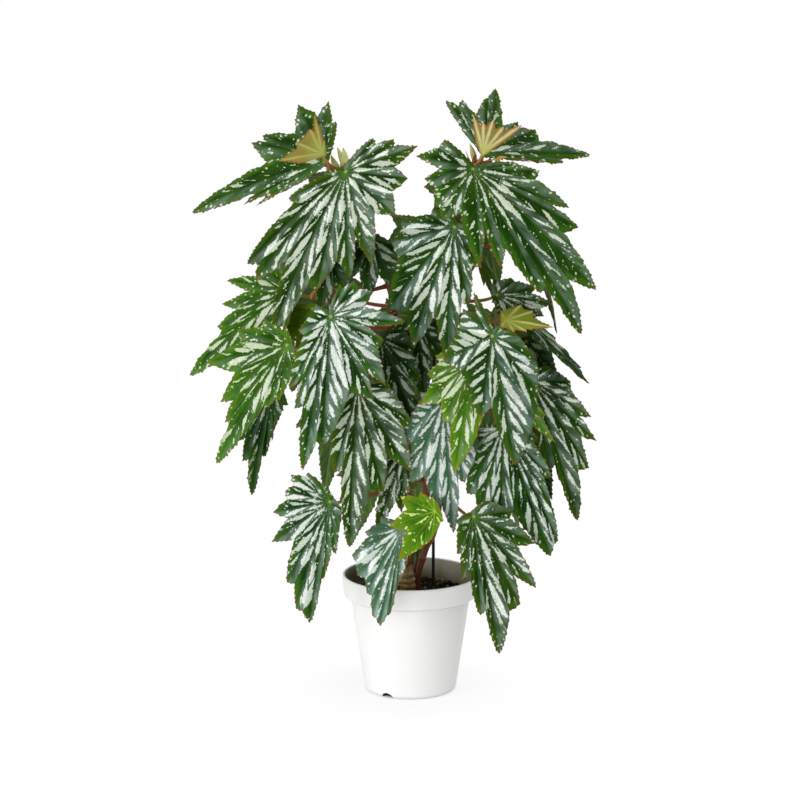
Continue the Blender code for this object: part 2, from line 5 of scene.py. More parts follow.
import bpy
import numpy as np
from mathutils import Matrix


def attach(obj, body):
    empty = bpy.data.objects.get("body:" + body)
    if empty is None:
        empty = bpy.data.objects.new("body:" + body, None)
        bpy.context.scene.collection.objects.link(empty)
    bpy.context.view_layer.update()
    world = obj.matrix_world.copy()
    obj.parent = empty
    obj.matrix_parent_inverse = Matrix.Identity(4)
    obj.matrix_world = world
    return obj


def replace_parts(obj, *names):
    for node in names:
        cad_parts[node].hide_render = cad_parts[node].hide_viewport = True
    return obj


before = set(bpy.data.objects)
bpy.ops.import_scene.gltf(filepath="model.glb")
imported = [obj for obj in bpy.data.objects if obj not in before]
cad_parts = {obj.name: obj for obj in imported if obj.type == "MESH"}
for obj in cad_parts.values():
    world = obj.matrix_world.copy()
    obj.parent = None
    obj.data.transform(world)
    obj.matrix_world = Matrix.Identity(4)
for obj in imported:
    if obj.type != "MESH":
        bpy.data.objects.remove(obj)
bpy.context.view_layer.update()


# The pot is a grower's pot of white polypropylene, injection moulded in one shot: a tapered
# wall, a stepped band below a rounded lip, and three half-moon notches in its foot that let
# water out. Every length below is in millimetres.

RIM_RADIUS, POT_HEIGHT, WALL, FLOOR = 65, 113, 2.2, 3
BAND_FOOT, BAND_STEP, BAND_DRAFT = 92, 8, 1.5
BASE_RADIUS, FOOT_ROUND, STEP_ROUND, BAND_ROUND = 43.5, 5, 1.2, 2.6
NOTCHES, NOTCH_RADIUS, NOTCH_TOP, NOTCH_BACK = (-121, -1, 119), 6.5, 5.2, 36.3
POT_COLUMNS, NOTCH_REACH, NOTCH_COLUMNS = 144, 9, 37


def linear(code):
    """An sRGB hex colour as linear red, green, blue and alpha. A channel c up to 0.04045
    becomes c / 12.92, and one above it ((c + 0.055) / 1.055) to the power 2.4."""
    parts = [int(code[i:i + 2], 16) / 255 for i in (1, 3, 5)]
    return (*(c / 12.92 if c <= 0.04045 else ((c + 0.055) / 1.055) ** 2.4 for c in parts), 1)


# The setting that the second word of a node's kind gives.
MODES = {"Math": "operation", "VectorMath": "operation", "MapRange": "interpolation_type",
         "Mix": "data_type"}


def add_node(owner, kind, *inputs, stops=(), **settings):
    """Adds a node to a material or a world. Its inputs go to its live sockets in order, and a
    dictionary names its sockets instead. An input is a value, an sRGB hex colour, a socket,
    or a node whose first live output is meant. stops are the places and colours of a ramp."""
    tree = owner.node_tree
    kind, _, mode = kind.partition(" ")
    new = tree.nodes.new("ShaderNode" + kind)
    if mode:
        settings[MODES[kind]] = mode
    for name, value in settings.items():
        setattr(new, name, value)
    live = [socket for socket in new.inputs if socket.enabled]
    named = {}
    for number, value in enumerate(inputs):
        named.update(value if isinstance(value, dict) else {number: value})
    for name, value in named.items():
        socket = new.inputs[name] if isinstance(name, str) else live[name]
        if isinstance(value, bpy.types.Node):
            value = next(output for output in value.outputs if output.enabled)
        if isinstance(value, bpy.types.NodeSocket):
            tree.links.new(value, socket)
        else:
            socket.default_value = linear(value) if isinstance(value, str) else value
    for number, (at, code) in enumerate(stops):
        elements = new.color_ramp.elements
        stop = elements[number] if number < 2 else elements.new(at)
        stop.position, stop.color = at, linear(code)
    return new


def new_finish(name):
    """A new material without nodes, and add_node tied to it."""
    finish = bpy.data.materials.new(name)
    finish.use_nodes = True
    finish.node_tree.nodes.clear()
    return finish, partial(add_node, finish)


def skin(rings, start, end):
    """A closed surface over k rings of n points and a pole at each end: point (i, j) joins
    (i + 1, j) and (i, j + 1), j wraps round, and rings that rise turn anticlockwise."""
    k, n = rings.shape[:2]
    points = np.concatenate([rings.reshape(-1, 3), [start], [end]])
    j = np.arange(n)
    after = (j + 1) % n
    i = np.arange(k - 1)[:, None] * n
    quads = np.stack([i + j, i + after, i + n + after, i + n + j], -1).reshape(-1, 4)
    first = np.stack([after, j, np.full(n, k * n)], -1)
    last = np.stack([(k - 1) * n + j, (k - 1) * n + after, np.full(n, k * n + 1)], -1)
    return points, [quads, first, last]


def piece(name, points, faces, finishes, smooth=True):
    """A mesh object of one piece, in metres from points in millimetres. faces is a list of
    arrays, and in each array every face has the same number of corners."""
    mesh = bpy.data.meshes.new(name)
    corners = np.concatenate([f.ravel() for f in faces])
    sizes = np.concatenate([np.full(len(f), f.shape[1]) for f in faces])
    mesh.vertices.add(len(points))
    mesh.vertices.foreach_set("co", (points * 0.001).astype(np.float32).ravel())
    mesh.loops.add(len(corners))
    mesh.loops.foreach_set("vertex_index", corners.astype(np.int32))
    mesh.polygons.add(len(sizes))
    starts = np.concatenate([[0], np.cumsum(sizes)[:-1]])
    mesh.polygons.foreach_set("loop_start", starts.astype(np.int32))
    mesh.update(calc_edges=True)
    mesh.polygons.foreach_set("use_smooth", np.full(len(sizes), smooth))
    for finish in finishes:
        mesh.materials.append(finish)
    thing = bpy.data.objects.new(name, mesh)
    bpy.context.scene.collection.objects.link(thing)
    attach(thing, "root")
    return thing


def arc(centre, radius, start, stop, steps):
    """Points of a profile on an arc: centre + radius * (cos t, sin t), t in degrees."""
    t = np.radians(np.linspace(start, stop, steps))
    return np.stack([centre[0] + radius * np.cos(t), centre[1] + radius * np.sin(t)], -1)


def pot_rings():
    """The pot's profile (r, z) turned round Z: (r cos v, r sin v, z), from the underside up
    the outside, over the lip and down to the floor inside. Where a column meets a notch,
    the outer profile is raised to the arch z = top - R + sqrt(R^2 - x^2), x along the rim."""
    slope = (RIM_RADIUS - BAND_STEP - BASE_RADIUS) / BAND_FOOT
    lip, band = WALL / 2 + 0.15, RIM_RADIUS - BAND_DRAFT
    wall_foot = BASE_RADIUS + slope * FOOT_ROUND
    wall = np.linspace((wall_foot, FOOT_ROUND), (RIM_RADIUS - BAND_STEP - 0.2, BAND_FOOT - 1.5), 12)
    outside = np.concatenate([
        [(18, 0), (34, 0), (NOTCH_BACK - 0.05, 0), (NOTCH_BACK, 0), (37.4, 0)],
        arc((wall_foot - FOOT_ROUND, FOOT_ROUND), FOOT_ROUND, -90, -4, 9),
        wall[1:],
        arc((RIM_RADIUS - BAND_STEP + 1.1, BAND_FOOT - STEP_ROUND), STEP_ROUND, 180, 90, 4),
        [(band - 4.2, BAND_FOOT)],
        arc((band - BAND_ROUND, BAND_FOOT + BAND_ROUND), BAND_ROUND, -80, 0, 7),
        np.linspace((band + 0.2, BAND_FOOT + 5), (RIM_RADIUS, POT_HEIGHT - 4), 5),
        arc((RIM_RADIUS - lip, POT_HEIGHT - lip), lip, 8, 172, 11),
    ])
    inside = np.concatenate([
        [(RIM_RADIUS - 2 * lip - 0.5, POT_HEIGHT - 8), (RIM_RADIUS - WALL - 1.6, BAND_FOOT + 3)],
        [(RIM_RADIUS - BAND_STEP - WALL + 0.6, BAND_FOOT - 1)],
        np.linspace((RIM_RADIUS - BAND_STEP - WALL, BAND_FOOT - 3), (42.4, 8), 8),
        [(41, 5.4), (38.5, FLOOR + 0.6), (35, FLOOR), (16, FLOOR)],
    ])
    turn = np.radians(np.arange(POT_COLUMNS) * 360 / POT_COLUMNS)
    near = np.radians(np.linspace(-NOTCH_REACH, NOTCH_REACH, NOTCH_COLUMNS))
    turn = np.concatenate([turn, *(near + math.radians(a) for a in NOTCHES)]) % (2 * math.pi)
    turn = np.unique(turn.round(4))
    arch = np.zeros(len(turn))
    for a in NOTCHES:
        x = BASE_RADIUS * np.sin(turn - math.radians(a))
        ahead = np.cos(turn - math.radians(a)) > 0
        rise = NOTCH_TOP - NOTCH_RADIUS + np.sqrt(np.clip(NOTCH_RADIUS**2 - x**2, 0, None))
        arch = np.maximum(arch, np.where(ahead, rise, 0))
    r = np.concatenate([outside, inside])[:, :1] * np.ones(len(turn))
    z = np.concatenate([outside, inside])[:, 1:] * np.ones(len(turn))
    outer = np.arange(len(r))[:, None] < len(outside)
    z = np.where(outer & (r >= NOTCH_BACK), np.maximum(z, arch), z)
    z = np.where(~outer & (r > 33) & (arch > 0), np.maximum(z, arch + 1.2), z)
    return np.stack([r * np.cos(turn), r * np.sin(turn), z], -1)


# White polypropylene: a waxy white with a soft satin gloss, and the faint unevenness of a
# moulded wall.
polypropylene, add = new_finish("white_polypropylene")
place = add("TexCoord").outputs["Object"]
cloudy = add("TexNoise", {"Vector": place, "Scale": 22, "Detail": 3})
grain = add("TexNoise", {"Vector": place, "Scale": 900, "Detail": 2})
shade = add("Mix RGBA", cloudy, "#ebebea", "#f3f3f2")
rough = add("MapRange", cloudy, 0, 1, 0.3, 0.4)
dimple = add("Bump", {"Height": grain, "Strength": 0.08, "Distance": 0.0002})
add("OutputMaterial", add("BsdfPrincipled", {
    "Base Color": shade, "Roughness": rough, "Normal": dimple, "IOR": 1.49,
    "Specular IOR Level": 0.4,
}))

# Inside, the wall is brown, paling to grey below the lip along a wavering line that sinks lower on the
# right: painted shade in the pot's hollow, deepest low down and on the left.
inner_shade, add = new_finish("shaded_inner_polypropylene")
place = add("TexCoord").outputs["Object"]
wall_place = add("SeparateXYZ", place)
waver = add("TexNoise", {"Vector": place, "Scale": 120, "Detail": 5})
level = add("Math MULTIPLY_ADD", waver, 0.012, wall_place.outputs["Z"])
# The line tilts with x, so the painted shade reaches higher on the left.
level = add("Math MULTIPLY_ADD", wall_place.outputs["X"], 0.16, level)
above_line = add("MapRange SMOOTHSTEP", level, 0.1, 0.119)
shade = add("Mix RGBA", above_line, "#55503c", "#97937f")
add("OutputMaterial", add("BsdfPrincipled", {"Base Color": shade, "Roughness": 0.6}))

# The notches are painted near black: painted shade in their hollows under the pot.
notch_shade, add = new_finish("notch_painted_shade")
add("OutputMaterial", add("BsdfPrincipled", {"Base Color": "#1d1611", "Roughness": 0.8}))

points, faces = skin(pot_rings(), (0, 0, 0), (0, 0, FLOOR))
pot = piece("pot_body", points, faces, [polypropylene, inner_shade, notch_shade])
middle = np.concatenate([points[f].mean(axis=1) for f in faces])
radius, turn = np.hypot(middle[:, 0], middle[:, 1]), np.arctan2(middle[:, 1], middle[:, 0])
inside = (radius < RIM_RADIUS - WALL - 0.25) & (middle[:, 2] > BAND_FOOT)
across = BASE_RADIUS * np.abs(np.sin(turn[:, None] - np.radians(NOTCHES))).min(axis=1)
ahead = (np.cos(turn[:, None] - np.radians(NOTCHES)) > 0.9).any(axis=1)
notched = ahead & (across < NOTCH_RADIUS - 0.1)
notched &= (radius > NOTCH_BACK - 0.1) & (radius < BASE_RADIUS - 0.7)
notched &= (middle[:, 2] > 0.1) & (middle[:, 2] < NOTCH_TOP + 0.1)
# The inner faces take the painted shade of the hollow, and the notches their near-black painted shade.
pot.data.polygons.foreach_set("material_index", (inside + 2 * notched).astype(np.int32))
pot.data.set_sharp_from_angle(angle=math.radians(50))
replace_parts(pot, "pot")


# The soil is peat with composted bark and a little perlite, nearly black when wet. A plug
# fills the pot, its top is uneven, and loose crumbs, bark chips and perlite lie on it.

SOIL_EDGE, SOIL_RADIUS, SOIL_MOUND = 94, 54.3, 3
SOIL_COLUMNS, CRUMBS = 96, 720


def waves(x, y, seed, lengths, heights):
    """Rolling ground: the sum over several lengths of height * sin(k . (x, y) + phase), the
    directions and phases being seeded draws."""
    draw = np.random.default_rng(seed)
    total = np.zeros_like(x)
    for length, height in zip(lengths, heights):
        for turn, phase in draw.uniform(0, 2 * math.pi, (4, 2)):
            k = 2 * math.pi / length
            total = total + height / 2 * np.sin(k * (x * math.cos(turn) + y * math.sin(turn)) + phase)
    return total


def soil_height(x, y):
    """A low mound plus rolling ground of 23, 9, 5 and 3 mm waves."""
    mound = SOIL_MOUND * (1 - (x**2 + y**2) / SOIL_RADIUS**2)
    return SOIL_EDGE + mound + waves(x, y, 4, (23, 9, 5, 3), (0.9, 0.6, 0.45, 0.3))


turn = np.arange(SOIL_COLUMNS) * 2 * math.pi / SOIL_COLUMNS
reach = np.concatenate([[36, 39, 41], np.linspace(42, SOIL_RADIUS, 6), np.linspace(53.5, 3, 26)])
x, y = reach[:, None] * np.cos(turn), reach[:, None] * np.sin(turn)
side = np.concatenate([[3.5, 4.5, 7], np.linspace(12, SOIL_EDGE - 1, 6)])
z = np.concatenate([side[:, None] * np.ones(SOIL_COLUMNS), soil_height(x[len(side):], y[len(side):])])
points, faces = skin(np.stack([x, y, z], -1), (0, 0, 3.4), (0, 0, SOIL_EDGE + SOIL_MOUND))

# Wet peat: matt and very dark, with slightly warmer fibres a millimetre or so across.
peat, add = new_finish("wet_peat")
place = add("TexCoord").outputs["Object"]
fibres = add("TexNoise", {"Vector": place, "Scale": 650, "Detail": 6, "Roughness": 0.7})
clods = add("TexVoronoi", {"Vector": place, "Scale": 320})
shade = add("ValToRGB", fibres, stops=((0.42, "#0b0806"), (0.78, "#33241a")))
relief = add("Math SUBTRACT", fibres, clods)
bump = add("Bump", {"Height": relief, "Strength": 0.9, "Distance": 0.0012})
add("OutputMaterial", add("BsdfPrincipled", {
    "Base Color": shade, "Roughness": 0.95, "Specular IOR Level": 0.15, "Normal": bump,
}))
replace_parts(piece("soil_plug", points, faces, [peat]), "soil")


def icosahedron():
    """The 12 corners of a unit icosahedron, the even turns of (0, 1, golden ratio), and its
    20 faces, which are the triples of corners one edge apart, wound outwards."""
    golden = (1 + math.sqrt(5)) / 2
    base = np.array([(0, a, b * golden) for a in (-1, 1) for b in (-1, 1)])
    corners = np.concatenate([base, base[:, [1, 2, 0]], base[:, [2, 0, 1]]])
    near = np.linalg.norm(corners[:, None] - corners, axis=-1) < 2.1
    a, b, c = np.nonzero(near[:, :, None] & near[:, None] & near[None])
    keep = (a < b) & (b < c)
    faces = np.stack([a, b, c], -1)[keep]
    p, q, r = (corners[faces[:, i]] for i in range(3))
    inward = (np.cross(q - p, r - p) * p).sum(-1) < 0
    faces[inward] = faces[inward][:, ::-1]
    return corners / np.linalg.norm(corners[0]), faces


def turns(draw, count):
    """Seeded random rotations, as matrices made orthogonal from random normal numbers."""
    q, _ = np.linalg.qr(draw.normal(size=(count, 3, 3)))
    return q * np.sign(np.linalg.det(q))[:, None, None]


draw = np.random.default_rng(11)
corners, cell = icosahedron()
far = (SOIL_RADIUS - 2.5) * np.sqrt(draw.uniform(0, 1, CRUMBS))
turn = draw.uniform(0, 2 * math.pi, CRUMBS)
x, y = far * np.cos(turn), far * np.sin(turn)
size = draw.uniform(0.5, 1.45, CRUMBS) * draw.choice([1, 1, 1.5], CRUMBS)
stretch = draw.uniform(0.55, 1.5, (CRUMBS, 3))
lump = corners * draw.uniform(0.75, 1.15, (CRUMBS, len(corners), 1)) * (size[:, None] * stretch)[:, None]
lump = np.einsum("nij,nkj->nki", turns(draw, CRUMBS), lump)
lump = lump + np.stack([x, y, soil_height(x, y) + size * 0.35], -1)[:, None]
faces = cell + len(corners) * np.arange(CRUMBS)[:, None, None]

# Each crumb carries a tone: peat, bark, a tan chip or a grain of perlite.
crumb, add = new_finish("peat_bark_and_perlite")
tone = add("Attribute", attribute_name="tone")
TONES = ((0, "#0d0906"), (0.5, "#3a281a"), (0.76, "#6b5238"), (0.9, "#a08a66"), (0.97, "#d2cec2"))
shade = add("ValToRGB", tone.outputs["Fac"], stops=TONES)
shade.color_ramp.interpolation = "CONSTANT"
place = add("TexCoord").outputs["Object"]
fibres = add("TexNoise", {"Vector": place, "Scale": 1500, "Detail": 4})
worn = add("Mix RGBA", 0.55, shade, fibres.outputs["Color"], blend_type="SOFT_LIGHT")
bump = add("Bump", {"Height": fibres, "Strength": 0.7, "Distance": 0.0004})
add("OutputMaterial", add("BsdfPrincipled", {
    "Base Color": worn, "Roughness": 0.9, "Specular IOR Level": 0.25, "Normal": bump,
}))
crumbs = piece("soil_crumbs", lump.reshape(-1, 3), [faces.reshape(-1, 3)], [crumb],
               smooth=False)
tone = crumbs.data.attributes.new("tone", "FLOAT", "POINT")
tone.data.foreach_set("value", np.repeat(draw.uniform(0, 1, CRUMBS), len(corners)))


# The stake is a straight steel rod in a matt black coat, pushed into the soil beside the
# canes.

STAKE_AT, STAKE_FOOT, STAKE_TOP, STAKE_RADIUS = (22, 17), 62, 345, 1.5


def unit(vectors):
    """Vectors divided by their lengths."""
    return vectors / np.linalg.norm(vectors, axis=-1, keepdims=True)


def sweep(path, radius, sides, across=(1, 0, 0)):
    """Rings of a tube: at each point of the path, whose direction is t, the point plus
    radius * (cos v * n + sin v * b), with b = t x across made unit and n = b x t."""
    t = unit(np.gradient(path, axis=0))
    b = unit(np.cross(t, across))
    n = np.cross(b, t)
    v = (np.arange(sides) * 2 * math.pi / sides)[:, None]
    return path[:, None] + radius[:, None, None] * (np.cos(v) * n[:, None] + np.sin(v) * b[:, None])


height = np.concatenate([[STAKE_FOOT, STAKE_FOOT + 2], np.linspace(70, STAKE_TOP - 1, 30),
                         [STAKE_TOP - 0.4, STAKE_TOP]])
path = np.column_stack([np.tile(STAKE_AT, (len(height), 1)), height])
girth = np.array([0.3] + [STAKE_RADIUS] * (len(height) - 2) + [0.8])
points, faces = skin(sweep(path, girth, 20), path[0], path[-1])

# Powder coat: black, with a low gloss and fine orange peel.
coat, add = new_finish("black_powder_coat")
place = add("TexCoord").outputs["Object"]
peel = add("TexNoise", {"Vector": place, "Scale": 1400, "Detail": 2})
shade = add("Mix RGBA", peel, "#0a0a0b", "#1a1a1b")
bump = add("Bump", {"Height": peel, "Strength": 0.25, "Distance": 0.0002})
add("OutputMaterial", add("BsdfPrincipled", {
    "Base Color": shade, "Roughness": 0.5, "Normal": bump, "Specular IOR Level": 0.3,
}))
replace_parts(piece("stake_rod", points, faces, [coat]), "stake")


# Two jointed canes rise from the soil, and the swollen foot of an older one stands in front
# of them. Begonia canes are smooth and fleshy like thin bamboo: red-brown below, greener
# above, with a ring at each joint and small pale pores.

# A cane: (x, y, z, radius) from below the soil's top to the growing tip, and its joints.
Cane = namedtuple("Cane", "line joints")
CANES = {
    "left": Cane(
        ((-2, 6, 62, 3.2), (2, 7, 105, 3.3), (9, 8, 134, 3.4), (13, 6, 156, 3.5),
         (14, 2, 204, 3.6), (4, 0, 255, 3.3), (-6, 0, 301, 3.2), (-19, 0, 387, 3.0),
         (-43, -4, 452, 2.8), (-62, -8, 505, 2.4)),
        (146, 180, 206, 236, 262, 285, 318, 352, 372, 392, 424, 452, 478, 492)),
    "right": Cane(
        ((4, -3, 62, 3.0), (7, -2, 108, 3.0), (14, -1, 136, 3.2), (22, 1, 153, 3.2),
         (27, 4, 180, 3.3), (28, 5, 213, 3.3), (37, 5, 300, 3.1),
         (42, 5, 377, 3.0), (48, 1, 444, 2.8), (60, -4, 508, 2.4)),
        (128, 160, 190, 224, 262, 286, 314, 346, 378, 410, 436, 470, 498)),
}
JOINT_RISE, JOINT_LENGTH, SCAR_RISE, SCAR_PITCH = 0.75, 2.2, 0.2, 5.2
OLD_FOOT = ((-5, -12, 62, 5.4), (-3, -12, 100, 7.4), (-3, -12, 112, 7.0), (-5, -12, 122, 5.2),
            (-8, -14, 131, 3.6))


def smooth_line(knots, steps):
    """A line through the knots: between b and c, with a before them and d after, it is
    0.5 (2b + (c - a)t + (2a - 5b + 4c - d)t^2 + (3b - a - 3c + d)t^3) for t from 0 to 1."""
    k = np.array(knots, float)
    a, b = np.concatenate([k[:1], k[:-2]])[:, None], k[:-1, None]
    c, d = k[1:, None], np.concatenate([k[2:], k[-1:]])[:, None]
    t = (np.arange(steps) / steps)[None, :, None]
    spans = 0.5 * (2 * b + (c - a) * t + (2 * a - 5 * b + 4 * c - d) * t**2
                   + (3 * b - a - 3 * c + d) * t**3)
    return np.concatenate([spans.reshape(-1, k.shape[1]), k[-1:]])


# Cane skin: a thin waxy bark. Its colour changes with height, streaks run up it about 2 mm
# apart, and the pores are pale flecks half a millimetre across.
bark, add = new_finish("begonia_cane_bark")
place = add("TexCoord").outputs["Object"]
rise = add("SeparateXYZ", place)
aged = add("MapRange", rise.outputs["Z"], 0.12, 0.5)
shade = add("ValToRGB", aged, stops=((0, "#8a4a20"), (0.4, "#8c4c22"), (1, "#7a682c")))
long_way = add("Mapping", {"Vector": place, "Scale": (500, 500, 40)})
streaks = add("TexNoise", {"Vector": long_way, "Scale": 1, "Detail": 4})
dark = add("Mix RGBA", streaks, "#4a2410", shade)
pores = add("TexVoronoi", {"Vector": place, "Scale": 420})
fleck = add("MapRange SMOOTHSTEP", pores, 0.16, 0.1)
skinned = add("Mix RGBA", fleck, dark, "#a07a4a")
bump = add("Bump", {"Height": streaks, "Strength": 0.4, "Distance": 0.0005})
add("OutputMaterial", add("BsdfPrincipled", {
    "Base Color": skinned, "Roughness": 0.42, "Normal": bump, "Specular IOR Level": 0.35,
}))

for name, cane in CANES.items():
    line = smooth_line(cane.line, 40)
    up = line[:, 2][:, None] - np.array(cane.joints)
    girth = line[:, 3] + JOINT_RISE * np.exp(-(up / JOINT_LENGTH)**2).max(axis=1)
    rings = sweep(line[:, :3], girth, 20)
    points, faces = skin(rings, line[0, :3], line[-1, :3] + (0, 0, 1))
    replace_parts(piece(f"cane_{name}_stem", points, faces, [bark]), f"cane_{name}")

# The old foot is woody and olive brown, ringed every 5 mm by the scars of lost leaves.
woody, add = new_finish("old_begonia_wood")
place = add("TexCoord").outputs["Object"]
mottle = add("TexNoise", {"Vector": place, "Scale": 260, "Detail": 5, "Roughness": 0.65})
shade = add("ValToRGB", mottle, stops=((0.3, "#5e4520"), (0.72, "#a98b4c")))
bump = add("Bump", {"Height": mottle, "Strength": 0.6, "Distance": 0.001})
add("OutputMaterial", add("BsdfPrincipled", {
    "Base Color": shade, "Roughness": 0.38, "Normal": bump, "Specular IOR Level": 0.5,
}))
line = smooth_line(OLD_FOOT, 24)
scars = np.cos(line[:, 2] * 2 * math.pi / SCAR_PITCH) + np.sin(line[:, 2] * 1.1)
girth = line[:, 3] + SCAR_RISE * scars
rings = sweep(line[:, :3], girth, 28)
points, faces = skin(rings, line[0, :3], line[-1, :3] + (0, 0, 1))
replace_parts(piece("cane_foot_stem", points, faces, [woody]), "cane_foot")


# The leaves are the plant's show: thin fleshy blades with up to fifteen pointed lobes, each
# with a vein from the petiole's end. Every leaf is grown in one piece with its petiole, a
# round stalk that leaves the cane at a joint and bends over to meet the blade from behind.

# A leaf: where its petiole meets the blade; the azimuth and elevation that its upper face
# looks to; how far its main vein swings from straight down in the plane of the blade; how
# much it droops along and arches across, in degrees per 100 mm; its cane and the height
# there that the petiole leaves; its finish; and its lobes, each as the angle from the main
# vein, the reach of its tip and the reach of the low after it, the last low being the sinus.
Leaf = namedtuple("Leaf", "name at faces swing bend stem root finish lobes")

# Two outlines that leaves out at the back and sides share.
BROAD = ((-128, 38, 32), (-88, 52, 42), (-52, 68, 50), (-22, 92, 64), (0, 128, 62), (26, 88, 46),
         (58, 66, 40), (95, 48, 28), (132, 34, 5))
SLIM = ((-120, 26, 22), (-70, 40, 32), (-36, 66, 46), (0, 112, 50), (24, 78, 42), (55, 54, 28),
        (105, 36, 5))


def sized(lobes, size, turned=False):
    """An outline scaled by size, and mirrored across the main vein if turned."""
    angle, reach, low = np.array(lobes, float).T
    if turned:
        angle, reach, low = -angle[::-1], reach[::-1], np.append(low[-2::-1], low[-1])
    return tuple(zip(angle, reach * size, low * size))


